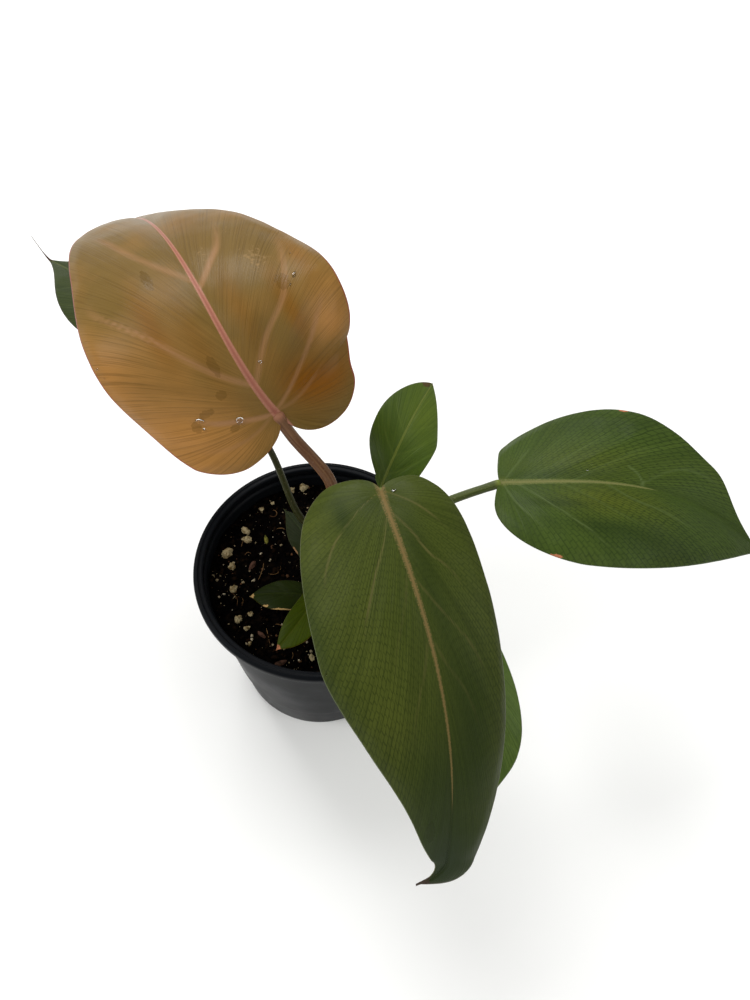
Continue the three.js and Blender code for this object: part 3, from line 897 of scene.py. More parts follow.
        point, normal, flat = self.place(side, u, v)
        along, out = flat[..., 0], flat[..., 1]
        signed = side * out
        s = np.clip(along / length, 0, 1)
        vein, pull = self.veins(along, signed)
        rib = mix(self.rib_width[0], self.rib_width[1], np.minimum(s / self.rib_length, 1) ** 0.7)
        fade = 1 - smooth(s, 0.93 * self.rib_length, 1.06 * self.rib_length)
        share = out / np.maximum(rib * fade, 1e-3)
        to_margin = np.linalg.norm(laid_flat(np.ones_like(v), v) - flat, axis=-1)
        open_blade = smooth(to_margin, 0, 8) * smooth(out, 0, 10)
        relief = self.quilt * open_blade * (1 - bell(vein, QUILT_REACH))
        relief -= VEIN_DEPTH * pull * bell(vein, VEIN_HALF)
        relief -= RIB_DEPTH * bell(out, 2.2 * rib)
        relief += self.uneven * lattice_noise(point, COARSE_CELL, self.seed) * smooth(out, 0, 12)
        relief += 0.3 * self.uneven * lattice_noise(point, FINE_CELL, self.seed + 1) * smooth(out, 0, 6)
        bulge = root(1 - (out / (1.1 * rib)) ** 2)
        ribbed = smooth(s, 0.0, 0.03)
        thick = 0.5 * BLADE_THICKNESS * root(1 - u**40)
        above = thick + relief + self.rib_rise * bulge * ribbed
        below = -thick + relief - KEEL * rib * bulge * ribbed
        middle_line = laid_flat(np.full(u.shape[0], 0.5), v[:, 0])
        run = np.concatenate([[0], np.cumsum(np.linalg.norm(np.diff(middle_line, axis=0), axis=1))])
        length_out = np.linalg.norm(flat - laid_flat(np.zeros_like(v), v), axis=-1)
        line = np.broadcast_to(run[:, None], u.shape) + (HALF_GAP if side > 0 else 0)
        patches = {
            name: sum((spot.at(along, signed) for spot in getattr(self, name)), np.zeros_like(u))
            for name in ("warmth", "shade", "wet", "dry")
        }
        return {
            "above": point + normal * above[..., None],
            "below": point + normal * below[..., None],
            "rib": share, "margin": to_margin, "vein": vein, "pull": pull,
            "grain": np.stack([length_out, line, 0 * line], axis=-1), **patches,
        }

    def surface(self) -> Surface:
        """The whole blade as loops round it: out and back over the right half, then the left.

        Returns:
            A closed surface that narrows to a point at the notch and at the tip.
        """
        even = np.linspace(0, 1, self.columns)
        crowded = 0.5 * (1 - np.cos(math.pi * even))
        v, u = np.meshgrid(np.linspace(0, 1, self.rows), mix(even, crowded, 0.6), indexing="ij")
        right = self.half_sheet(1, u, v)
        left = self.half_sheet(-1, u, v)
        out, back = slice(0, -1), slice(-1, 0, -1)
        legs = ((right, "above", out), (right, "below", back), (left, "below", out), (left, "above", back))
        # the last point of each leg is the first of the next, so every leg leaves its own last one out
        points = np.concatenate([sheet[key][:, part] for sheet, key, part in legs], axis=1)
        facts = {
            name: np.concatenate([sheet[name][:, part] for sheet, _, part in legs], axis=1)
            for name in right
            if name not in ("above", "below")
        }
        under = [np.full(sheet[key][:, part].shape[:2], float(key == "below")) for sheet, key, part in legs]
        facts["under"] = np.concatenate(under, axis=1)
        return Surface.from_grid(points, facts)

    def build(self) -> bpy.types.Object:
        """Makes the blade in place of its frame node."""
        name = self.name
        return self.surface().build(f"{name}_lamina", self.finish.build(), self.slot, f"{name}_blade")


@dataclass(frozen=True)
class Petiole:
    """A leaf stalk: up its route, then round into the underside of its blade."""

    blade: Blade
    route: tuple[Point, ...]
    radius: tuple[float, float]  # at the stem and under the blade
    finish: StalkSkin
    slot: Slot = Slot.GREEN
    sides: int = 24
    rows: int = 110

    def surface(self) -> Surface:
        """A bar whose radius narrows upward, with a channel along its upper side and a soft collar.

        Returns:
            The closed surface.
        """
        origin, up, _ = self.blade.rib_frame(np.array([0.0]))
        last = origin[0] - up[0] * 0.45 * BLADE_THICKNESS
        centres = smooth_curve([*self.route, tuple(last)], self.rows)
        t = np.linspace(0, 1, self.rows)
        radius = mix(self.radius[0], self.radius[1], t)
        foot, collar = bell(t, 0.12), bell(t - 0.955, 0.035)
        radius = radius * (1 + 0.25 * foot + 0.08 * collar)
        radius = radius * root((1 - t) / 0.012) * root(t / 0.01)
        channel = 1 - 0.1 * bell(circle(self.sides) - math.pi, 0.45)
        return tube(centres, radius[:, None] * channel, self.sides)

    def build(self) -> bpy.types.Object:
        """Makes the stalk in place of its frame node."""
        name = self.blade.name
        return self.surface().build(f"{name}_stalk", self.finish.build(), self.slot, f"{name}_petiole")


@dataclass(frozen=True)
class Stem:
    """The short main stem, ringed where old leaves were, with papery bracts round its foot."""

    route: tuple[Point, ...] = ((3, 2, 60), (6, 2, 85), (12, 3, 100), (16, 4, 112))
    radius: float = 4.2
    rings: tuple[float, ...] = (0.47, 0.56, 0.66, 0.76, 0.86, 0.94)
    rows: int = 160
    sides: int = 36

    def build(self) -> list[bpy.types.Object]:
        """Makes the stem in place of its frame node, and the bracts on it."""
        centres = smooth_curve(list(self.route), self.rows)
        t = np.linspace(0, 1, self.rows)
        swell = sum(0.07 * bell(t - ring, 0.012) for ring in self.rings)
        radius = self.radius * (0.95 + swell) * root((1 - t) / 0.05)
        radius = radius * root(t / 0.01)
        skin = StalkSkin("stem_skin", "3F4A20", "5E6231", "4A5428")
        stem = tube(centres, radius, self.sides).build("stem_skin", skin.build(), Slot.STEM, "stem")
        papery = Granular("dry_bract", "5A3A22", "8C6A43", 1.6, pit=0.0002)
        bracts = Surface.join([self.bract(centres, ring, turn) for ring, turn in zip(self.rings, range(6))])
        return [stem, bracts.build("stem_bracts", papery.build(), Slot.STEM)]

    def bract(self, centres: Array, ring: float, turn: float) -> Surface:
        """A papery remnant that clasps part of the stem and frays to a point.

        Args:
            centres: the stem's path.
            ring: where it clasps, as a share of the path.
            turn: which way it faces, in steps of two radians.

        Returns:
            A thin closed strip.
        """
        foot = centres[int(ring * (len(centres) - 1))]
        rows, columns = 14, 12
        t, a = np.meshgrid(np.linspace(0, 1, rows), np.linspace(-1, 1, columns), indexing="ij")
        angle = 2 * turn + a * 1.1 * (1 - 0.85 * t**1.5)
        reach = self.radius * 1.04 + 0.25 + 0.9 * t**2
        sheet = np.stack([
            foot[0] + reach * np.cos(angle) + 2.2 * t, foot[1] + reach * np.sin(angle), foot[2] - 1 + 7.5 * t
        ], axis=-1)
        outward = np.stack([np.cos(angle), np.sin(angle), 0 * angle], axis=-1)
        thick = 0.09 * root(1 - a**8)[..., None]
        loop = np.concatenate([sheet + outward * thick, (sheet - outward * thick)[:, ::-1]], axis=1)
        foot_cap, tip_cap = (np.broadcast_to(end.mean(axis=1, keepdims=True), end.shape)
                             for end in (loop[:1], loop[-1:]))
        return Surface.from_grid(np.concatenate([foot_cap, loop, tip_cap]))


# ---------------------------------------------------------------- the pot and what is in it


@dataclass(frozen=True)
class NurseryPot:
    """A thin round pot, moulded in one: foot band, tapered wall, inner ledge and rolled lip."""

    height: float = 96.0
    rim_radius: float = 54.0
    base_radius: float = 41.5
    wall: float = 1.0
    floor: float = 2.0
    lip_width: float = 3.2
    lip_height: float = 3.6
    lip_round: float = 1.4
    foot_height: float = 21.0
    foot_step: float = 0.6
    ledge_height: float = 90.0
    ledge_width: float = 0.7
    press: float = 2.0
    drain_radius: float = 4.5
    drain_circle: float = 28.0
    drains: int = 6
    segments: int = 288

    @property
    def neck(self) -> float:
        """Outer radius just under the lip."""
        return self.rim_radius - self.lip_width

    def outer(self, z: float) -> float:
        """Outer radius of the tapered wall at height z."""
        return mix(self.base_radius, self.neck - self.ledge_width, z / self.ledge_height)

    def press_front(self, points: Array) -> Array:
        """Moves the front half inward: most at the rim, less lower down and nearer the axis."""
        pressed = points.copy()
        share = np.minimum(points[..., 1], 0) / self.rim_radius
        pressed[..., 1] += self.press * points[..., 2] / self.height * share**2
        return pressed

    def profile(self) -> Array:
        """Radius and height round the wall's section, from the middle of the foot to the middle of the floor.

        Returns:
            The section's corners, with small rounds where the moulding has them.
        """
        inside = self.neck - self.wall
        under = self.height - self.lip_height
        band = self.outer(self.foot_height)

        def corner(r: float, z: float, radius: float, start: float, end: float) -> list[list[float]]:
            """Six points on an arc, angles in degrees."""
            return [[r + radius * math.cos(math.radians(a)), z + radius * math.sin(math.radians(a))]
                    for a in np.linspace(start, end, 6)]

        roll, top = self.lip_round, self.height - self.lip_round
        return np.array([
            [0.001, 0], [12, 0], [24, 0], [36, 0], [self.base_radius - 2.5, 0],
            *corner(self.base_radius - 1.6, 1.2, 1.2, -90, 0),
            [band - self.foot_step - 0.15, self.foot_height - 0.7],
            [band - self.foot_step, self.foot_height],
            [band - 0.1, self.foot_height + self.foot_step], [band + 0.03, self.foot_height + 1.4],
            *[[self.outer(z), z] for z in np.linspace(self.foot_height + 8, self.ledge_height - 1, 10)],
            [self.outer(self.ledge_height) + 0.1, self.ledge_height],
            [self.neck, self.ledge_height + self.ledge_width],
            [self.neck, under - 0.3], [self.neck + 0.3, under],
            [self.rim_radius - 0.9, under], *corner(self.rim_radius - 0.5, under + 0.5, 0.5, -90, 0),
            *corner(self.rim_radius - roll, top, roll, 0, 90),
            # the lip's top: a raised outer bead, a shallow step and an inner bead
            [self.rim_radius - 1.9, self.height - 0.05], [self.rim_radius - 2.2, self.height - 0.45],
            [self.rim_radius - 2.6, self.height - 0.5],
            *corner(inside + 0.75, self.height - 1.2, 0.75, 75, 180),
            [inside, self.ledge_height + 2.4 * self.ledge_width],
            *corner(inside - 0.1, self.ledge_height + 1.1, 0.35, 40, -60),
            [self.outer(self.ledge_height) - self.wall, self.ledge_height],
            *[[self.outer(z) - self.wall, z] for z in np.linspace(self.ledge_height - 2, self.floor + 2, 10)],
            *corner(self.outer(self.floor) - self.wall - 1.5, self.floor + 1.5, 1.5, 0, -90),
            [36, self.floor], [24, self.floor], [12, self.floor], [0.001, self.floor],
        ])

    def build(self) -> bpy.types.Object:
        """Spins the section, cuts the drain holes, and puts the pot in place of its frame node."""
        section = self.profile()
        turn = circle(self.segments)
        points = np.stack([
            section[:, :1] * np.cos(turn), section[:, :1] * np.sin(turn),
            np.broadcast_to(section[:, 1:], (len(section), self.segments)),
        ], axis=-1)
        points[[0, -1], :, :2] = 0
        shell = Surface.from_grid(self.press_front(points))
        pot = shell.build("nursery_pot_shell", MouldedPolypropylene().build(), Slot.POT)
        drills = bpy.data.meshes.new("drills")
        tool = bmesh.new()
        for angle in circle(self.drains):
            spot = (self.drain_circle * MM * math.cos(angle), self.drain_circle * MM * math.sin(angle), MM)
            bmesh.ops.create_cone(tool, cap_ends=True, segments=32, radius1=self.drain_radius * MM,
                                  radius2=self.drain_radius * MM, depth=6 * MM,
                                  matrix=Matrix.Translation(spot))
        tool.to_mesh(drills)
        tool.free()
        drill = link_object("drills", drills)
        cut = pot.modifiers.new("drain_holes", "BOOLEAN")
        cut.object = drill
        cut.solver = "EXACT"
        bpy.context.view_layer.update()
        drilled = bpy.data.meshes.new_from_object(pot.evaluated_get(bpy.context.evaluated_depsgraph_get()))
        pot.modifiers.clear()
        pot.data = drilled
        bpy.data.objects.remove(drill)
        drilled.shade_smooth()
        drilled.set_sharp_from_angle(angle=math.radians(38))
        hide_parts("nursery_pot")
        return pot


@dataclass(frozen=True)
class PottingMix:
    """Peat-based mix that fills the pot to just under its ledge, with loose bits on top."""

    pot: NurseryPot
    level: float = 85.5
    bump: float = 1.1
    gap: float = 0.3
    rings: int = 110
    segments: int = 330

    def height(self, x: Array, y: Array) -> Array:
        """The frame's height of the mix: one long swell and one short one, both sines."""
        swell = np.sin(0.11 * x + 0.6) * np.cos(0.09 * y - 0.4)
        lumps = np.sin(0.31 * x + 0.23 * y) * np.sin(0.27 * y - 0.19 * x + 1.1)
        return self.level + self.bump * (0.55 * swell + 0.45 * lumps)

    def crumbly(self, x: Array, y: Array) -> Array:
        """Height with crumbs of 1 to 6 mm added."""
        flat = np.stack([x, y, 0 * x], axis=-1)
        crumbs = sum(size * 0.16 * lattice_noise(flat, size, seed)
                     for size, seed in ((6.0, 3), (3.0, 4), (1.5, 5), (0.9, 6)))
        return self.height(x, y) + crumbs - 0.35

    def build(self) -> list[bpy.types.Object]:
        """Makes the mix in place of its frame node, then the loose bits."""
        radius = self.pot.outer(self.level - self.bump) - self.pot.wall - self.gap
        foot = self.pot.outer(self.pot.floor + self.gap) - self.pot.wall - self.gap
        r, a = np.meshgrid(np.linspace(0, radius, self.rings), circle(self.segments), indexing="ij")
        x, y = r * np.cos(a), r * np.sin(a)
        top = np.stack([x, y, self.crumbly(x, y)], axis=-1)
        low = np.full_like(a[:1], self.pot.floor + self.gap)
        wall, middle = (np.stack([reach * np.cos(a[:1]), reach * np.sin(a[:1]), low], axis=-1)
                        for reach in (foot, 0))
        points = self.pot.press_front(np.concatenate([top, wall, middle]))
        peat = Granular("damp_peat", "030202", "120B06", 3.0, 0.92, 0.02, 0.0005, 0.35).build()
        body = Surface.from_grid(points).build("potting_mix_body", peat, Slot.MIX, "potting_mix")
        return [body, *self.loose_bits(radius)]

    def scatter(self, count: int, size: tuple[float, float], seed: int, flatness: float,
                radius: float) -> Surface:
        """Many small uneven lumps lying on the mix: stretched, turned copies of a twelve-cornered solid.

        Args:
            count: how many.
            size: smallest and largest size across, in mm.
            seed: picks their places and shapes.
            flatness: height as a share of width.
            radius: radius of the disc they lie in.

        Returns:
            One surface of separate closed lumps.
        """
        rng = np.random.default_rng(seed)
        solid = bmesh.new()
        bmesh.ops.create_icosphere(solid, subdivisions=1, radius=0.5)
        corners = np.array([c.co[:] for c in solid.verts])
        sides = np.array([[c.index for c in f.verts] for f in solid.faces])
        solid.free()
        across = size[0] * (size[1] / size[0]) ** (rng.random(count) ** 2.2)
        reach = radius * np.sqrt(rng.random(count)) * 0.985
        angle = rng.uniform(0, 2 * math.pi, count)
        x, y = reach * np.cos(angle), reach * np.sin(angle)
        shape = corners[None] * rng.uniform(0.65, 1.3, (count, len(corners), 1))
        shape = shape * rng.uniform(0.6, 1.2, (count, 1, 3)) * across[:, None, None]
        spin = rng.uniform(0, 2 * math.pi, count)[:, None]
        turned = spun(shape * np.array([1, 1, flatness]), spin)
        z = self.crumbly(x, y) + 0.3 * across * flatness
        turned += np.stack([x, y, z], axis=-1)[:, None]
        faces = sides[None] + (np.arange(count) * len(corners))[:, None, None]
        faces = np.concatenate([faces, faces[..., :1]], axis=-1).reshape(-1, 4)
        return Surface(self.pot.press_front(turned.reshape(-1, 3)), faces)

    def fibres(self, count: int, length: tuple[float, float], thick: float, seed: int,
               radius: float) -> Surface:
        """Thin bent fibres lying on the mix: slim bars on arcs, each along the ground.

        Args:
            count: how many.
            length: shortest and longest, in mm.
            thick: radius in mm.
            seed: picks their places.
            radius: radius of the disc they lie in.

        Returns:
            One surface of separate closed bars.
        """
        rng = np.random.default_rng(seed)
        bars = []
        for _ in range(count):
            reach, angle = radius * 0.93 * math.sqrt(rng.random()), rng.uniform(0, 2 * math.pi)
            heading, turn = rng.uniform(0, 2 * math.pi), rng.normal(0, 0.5)
            run = np.linspace(-0.5, 0.5, 12) * rng.uniform(*length)
            way = heading + turn * run / length[1] * 2
            x = reach * math.cos(angle) * 0.9 + run * np.cos(way)
            y = reach * math.sin(angle) * 0.9 + run * np.sin(way)
            inside = np.minimum(1, 0.97 * radius / np.maximum(np.hypot(x, y), 1))
            x, y = x * inside, y * inside
            lift = rng.uniform(0.2, 0.8) * (1 - (2 * run / (run[-1] - run[0])) ** 2)
            centres = np.stack([x, y, self.crumbly(x, y) + 0.45 + lift], axis=-1)
            ends = root(1 - (2 * np.abs(np.linspace(-0.5, 0.5, 12))) ** 6)
            bars.append(tube(centres, thick * rng.uniform(0.6, 1.3) * ends, 6))
        return Surface.join(bars)

    def loose_bits(self, radius: float) -> list[bpy.types.Object]:
        """Crumbs of peat, pale grit, bark fines and fibres on top of the mix."""
        lumps = (
            ("peat_crumbs", Slot.MIX, 1900, (0.7, 3.0), 11, 0.8,
             Granular("loose_peat", "040302", "1A1008", 5.0, 0.95, 0.02, 0.0003, 0.4)),
            ("pale_grit", Slot.PERLITE, 420, (0.35, 1.8), 12, 0.8,
             Granular("pale_grit", "B7AB92", "8A7B5E", 4.0, pit=0.0001)),
            ("bark_fines", Slot.BARK, 90, (0.6, 2.6), 13, 0.45,
             Granular("bark_fines", "301D12", "5B3D26", 6.0, pit=0.0002)),
        )
        pieces = [
            self.scatter(count, size, seed, flatness, radius).build(name, finish.build(), slot)
            for name, slot, count, size, seed, flatness, finish in lumps
        ]
        coir = Granular("coir_fibre", "4B331E", "7A5C38", 8.0, pit=0.0001).build()
        fibres = self.fibres(36, (3.0, 9.0), 0.14, 14, radius)
        return [*pieces, fibres.build("coir_fibres", coir, Slot.BARK)]


@dataclass(frozen=True)
class Lumps:
    """The larger loose lumps on the mix: puffed perlite and flakes of bark."""

    perlite: tuple[float, ...] = (5, 3.6, 3.7, 4.4, 3.6, 3.5, 2.6, 2.4, 4.2, 2.8, 2.1, 2, 2, 2.6)  # mm
    bark: tuple[tuple[float, float], ...] = ((5.4, 25), (4, 110), (4.6, 70), (4.2, 150))  # mm, degrees
    rows: int = 26
    columns: int = 36

    def lump(self, centre: Array, size: Array, turn: float, rough: float, seed: int) -> Surface:
        """A closed lump: a ball stretched to size, pushed in and out by two layers of noise."""
        pole, way = np.meshgrid(np.linspace(0, math.pi, self.rows), circle(self.columns), indexing="ij")
        ball = np.stack([np.sin(pole) * np.cos(way), np.sin(pole) * np.sin(way), np.cos(pole)], axis=-1)
        ball[[0, -1], :, :2] = 0
        coarse, fine = lattice_noise(ball + 7 * seed, 0.75, seed), lattice_noise(ball, 0.3, seed)
        body = ball * (1 + rough * coarse + 0.5 * rough * fine)[..., None] * size / 2
        return Surface.from_grid(spun(body, math.radians(turn)) + centre)

    def build(self) -> list[bpy.types.Object]:
        """Makes each lump in place of its frame node, centred there; perlite sinks in a little."""
        puffed = Granular("expanded_perlite", "9C8E6C", "6E5C3A", 1.8, pit=0.0004, share=0.42).build()
        flake = Granular("pine_bark", "2A1A10", "50362A", 2.2, pit=0.0004).build()
        moss = Granular("green_bark", "4A4A18", "6E6A2C", 2.0).build()
        lumps = [
            (f"perlite_{k}", f"perlite_lump_{k}", puffed, Slot.PERLITE, np.array([0.95, 0.72, 0.6]) * size,
             0.12 * size, 47 * k, 0.55, k)
            for k, size in enumerate(self.perlite, start=1)
        ] + [
            (f"bark_chip_{k}", f"bark_flake_{k}", moss if k == 2 else flake, Slot.BARK,
             np.array([length, 0.42 * length, 1.5]), 0, turn, 0.22, 40 + k)
            for k, (length, turn) in enumerate(self.bark, start=1)
        ]
        pieces = []
        for node, name, material, slot, size, sunk, turn, rough, seed in lumps:
            low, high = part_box(node)
            centre = (np.array(low) + np.array(high)) / 2 / MM - np.array([0, 0, sunk])
            pieces.append(self.lump(centre, size, turn, rough, seed).build(name, material, slot, node))
        return pieces


# ---------------------------------------------------------------- water on the leaves


@dataclass(frozen=True)
class Drop:
    """A drop on a blade: which half, its place in the half's own grid, and its size in mm."""

    side: int
    u: float
    v: float
    length: float
    width: float
    height: float = 0.5


def drop_surface(blade: Blade, drop: Drop, seed: int) -> Surface:
    """A low dome on the blade: height falls as the root of one less radius squared; outline is uneven.

    Args:
        blade: the blade it lies on.
        drop: its place and size.
        seed: varies its outline.

    Returns:
        The dome and its flat foot as one closed surface.
    """
    u, v = np.array([[drop.u]]), np.array([[drop.v]])
    point, normal, _ = blade.place(drop.side, u, v)
    ahead, _, _ = blade.place(drop.side, u + 0.01, v)
    along = unit((ahead - point)[0, 0])
    up = normal[0, 0]
    across = np.cross(up, along)
    share, turn = np.meshgrid(np.concatenate([np.linspace(0, 1, 9), [0.97, 0]]), circle(24), indexing="ij")
    dome = root(1 - share**2) * drop.height
    dome[-2:] = -0.12
    outline = share * (1 + 0.14 * np.sin(2 * turn + seed) + 0.08 * np.sin(3 * turn + 2 * seed))
    a = 0.5 * drop.length * outline * np.cos(turn)
    b = 0.5 * drop.width * outline * np.sin(turn)
    base = point[0, 0] + up * (0.5 * BLADE_THICKNESS + 0.15)
    points = base + a[..., None] * along + b[..., None] * across + dome[..., None] * up
    return Surface.from_grid(points)


# ---------------------------------------------------------------- this plant's leaves

# the bronze leaf's dry-and-sheen colour is a painted sheen, paler than its ground; on the other leaves it is
# dead, dried tissue
BRONZE = LeafCuticle(
    "young_bronze_leaf_cuticle", ground="6C5528", warm="A8763C", deep="784800", rib="A2705A",
    rib_core="925A4A", lateral="98704C", margin="8A3A30", under="8A5A4A", stripe="4A3510", dry="826840",
    roughness=0.36, gloss=0.08, coat=0.04, streak=0.15, line=0.34, rib_grain=0.55, lateral_width=2.3,
    margin_width=1.2,
)
# its deep colour is laid as painted shade on the front leaf's flank and tip, as well as in its other darker
# patches
FRONT_GREEN = LeafCuticle(
    "mature_leaf_cuticle", ground="3C4516", warm="464D19", deep="1C2A0C", rib="434620", rib_core="6C5A34",
    lateral="5C5630", margin="4F4423", under="5E6B44", stripe="1C2604", dry="3E332A", roughness=0.42,
    gloss=0.08, line=0.25, net=0.62, rib_grain=0.85, lateral_width=0.8,
)
RIGHT_GREEN = LeafCuticle(
    "mature_blue_green_leaf_cuticle", ground="3B4B1B", warm="4A5218", deep="1C290F", rib="4A5426",
    rib_core="68683C", lateral="4C5A30", margin="31371E", under="5A6848", stripe="18260C", dry="A5694A",
    gloss=0.07, streak=0.25, line=0.2, net=0.75, rib_grain=0.6, lateral_width=0.9, margin_width=0.35,
)
SMALL_GREEN = LeafCuticle(
    "young_green_leaf_cuticle", ground="405218", warm="53631F", deep="2B3B0E", rib="5E6928",
    rib_core="596326", lateral="536325", margin="574E25", under="6B7A4C", stripe="26360A", dry="4A3C22",
    net=0.3, margin_width=0.4,
)
LOW_GREEN = LeafCuticle(
    "low_leaf_cuticle", ground="4F6328", warm="5C7030", deep="2C4014", rib="62702E", rib_core="596828",
    lateral="576C2E", margin="464A25", under="66744C", stripe="263A10", net=0.35,
)
BACK_GREEN = LeafCuticle(
    "back_leaf_cuticle", ground="303A14", warm="364218", deep="212C10", rib="495027", rib_core="444B22",
    lateral="434D27", margin="342B1C", under="62704C", stripe="1A260C", dry="3E2620", roughness=0.42,
    net=0.2,
)
JUVENILE_DARK = LeafCuticle(
    "juvenile_dark_leaf_cuticle", ground="1D2606", warm="21290A", deep="0E1402", rib="252E0B",
    rib_core="222B09", lateral="222C0B", margin="37310F", under="4A5534", stripe="0C1202", dry="A88A58",
    roughness=0.38, gloss=0.05, lateral_width=0.5, margin_width=0.35,
)
JUVENILE_BRIGHT = LeafCuticle(
    "juvenile_bright_leaf_cuticle", ground="333F02", warm="4A5808", deep="192001", rib="3C440A",
    rib_core="394108", lateral="343D08", margin="60511B", under="66703C", stripe="1C2602", dry="A0694A",
    gloss=0.05, lateral_width=0.5, margin_width=0.35,
)
JUVENILE_BLUE = LeafCuticle(
    "juvenile_blue_leaf_cuticle", ground="262D19", warm="262F19", deep="121708", rib="2F381D",
    rib_core="2B341A", lateral="2A3319", margin="2F2F16", under="4A5540", stripe="10160A", dry="8A6A48",
    gloss=0.06, lateral_width=0.5, margin_width=0.35,
)

MAUVE_STALK = StalkSkin("mauve_petiole_skin", "5C3C26", "7E5C3E", "8A5E46")
OLIVE_STALK = StalkSkin("olive_petiole_skin", "24260A", "383A12", "44502A")
GREEN_STALK = StalkSkin("green_petiole_skin", "3C451E", "535C30", "66702E")

BRONZE_LEAF = Blade(
    "bronze_leaf", BRONZE, Slot.BRONZE,
    rib=((-16, 13, 180), (-37, 18, 208), (-51, 53, 237), (-111, 148, 146)),
    face=((-0.29, -0.22, 0.93), (-0.23, 0.56, 0.79)),
    left=Half(48, 0.093, 0.4, 0.36, 0.98, 0.27, (0.57, 0.084, 0.077)),
    right=Half(45.2, 0.178, 0.4, 0.35, 0.67, 0.25, (0.305, 0.063, 0.025)),
    fold=(3, 13), roll_left=(-54, -34), roll_right=(-26, -40), wave=(1.8, 2.34, 1.08, 0.35),
    rows=230, columns=50, sweep=2.4, rib_width=(1.6, 0.4), rib_rise=0.22, quilt=0.7, uneven=0.3, seed=21,
    laterals=laterals(
        (0.6, (25, -1), (43, -10), (69, -20), (103, -35), (115, -38)),
        (0.45, (94, -1), (116, -12), (139, -20), (150, -24)),
        (0.85, (1, -1), (11, -12), (17, -19), (27, -27)),
        (0.55, (24, 1), (45, 12), (62, 24), (91, 32), (108, 35)),
        (0.55, (1, 1), (8, 10), (25, 23), (43, 32), (60, 39)),
        (0.65, (88, 1), (97, 7), (107, 13), (139, 21)),
        (0.3, (1, 1), (-2, 8), (0, 18), (8, 30)),
        (0.3, (1, -1), (-1, -10), (2, -22), (12, -36)),
    ),
    warmth=spots((15, -32, 40, 24, 0.95), (75, -46, 34, 13, 0.8), (32, 33, 24, 8, 0.75),
                 (56, 41, 34, 8, 0.4)),
    shade=spots(
        (5, 15, 18, 9, 0.95), (52, 24, 24, 3.2, 0.55), (78, -20, 24, 4.0, 0.5), (60, -9, 34, 4, 0.25),
        (64, 9, 30, 4, 0.3), (-10, 24, 12, 10, 0.7), (86, 36, 18, 3, 0.35), (134, 10, 12, 8, 0.2),
    ),
    wet=spots(
        (45, -8, 7, 1.6, 1.2), (29, -11, 3, 2, 1.2), (24, -19, 2.4, 3, 1.2), (20, -25, 3.6, 2, 1.1),
        (70, 26, 6, 3, 1.1), (103, -14, 8, 1.8, 1.1), (9, -14, 2.2, 2.4, 1.0),
    ),
    # dry-and-sheen spots on this leaf: pale mottled patches high on the arched blade, a painted sheen where
    # it faces the light
    dry=spots((90, 22, 15, 9, 0.4), (104, 6, 8, 5, 0.36), (118, 18, 10, 8, 0.3)),
)
FRONT_LEAF = Blade(
    "front_leaf", FRONT_GREEN, Slot.DARK,
    rib=((23, -12, 175), (32, -39, 179), (61, -83, 156), (58, -119, 87)),
    face=((-0.01, -0.32, 0.95), (0.12, -0.76, 0.64)),
    left=Half(25.2, 0.05, 0.38, 0.25, 0.96, 0.02, (0.84, -0.42, 0.07)),
    right=Half(38.3, 0.1, 0.38, 0.46, 0.36, 0.05, (0.88, -0.27, 0.07)),
    fold=(4, 3), roll_left=(-33, -50), roll_right=(-37, -29), wave=(-0.6, 1.55, 0.1, -0.1), drip=(-9, -1, 0),
    rows=230, columns=46, rib_width=(1.7, 0.3), rib_length=0.8, quilt=0.55, uneven=0.3, seed=31,
    laterals=laterals(
        (0.6, (0, 1), (11, 12), (20, 20), (27, 24), (34, 27), (41, 28)),
        (0.65, (16, 1), (31, 6), (41, 11), (50, 15), (57, 18), (70, 23)),
        (0.25, (70, 1), (79, 4), (92, 9), (106, 12)),
        (0.15, (44, 1), (56, 5), (70, 11), (88, 16)),
        (0.5, (0, -1), (13, -9), (21, -13), (34, -18)),
        (0.5, (15, -1), (28, -5), (39, -8), (48, -13), (62, -17)),
        (0.3, (48, -1), (61, -6), (76, -13), (88, -16)),
        (0.2, (71, -1), (78, -3), (90, -8), (104, -11)),
    ),
    warmth=spots((13, 26, 14, 6, 0.6), (70, 20, 36, 10, 0.5), (8, -8, 12, 8, 0.3), (98, 16, 14, 8, 0.7),
                 (1, 0, 2.5, 3, 1.2)),
    # tone-and-shade spots from 96 mm along down to the tip are painted shade on the flank and tip that face
    # away from the light
    shade=spots((9, 15, 11, 3, 0.6), (46, -5, 40, 4, 0.45), (96, -10, 30, 7, 0.55), (6, 5, 7, 6, 0.3),
                (118, 4, 20, 14, 0.6), (60, 36, 40, 3, 0.35), (146, 0, 16, 16, 0.9)),
    wet=spots((132, 7, 4, 1.6, 1.2)),
    dry=spots((152, 0, 3, 3, 0.9)),
)
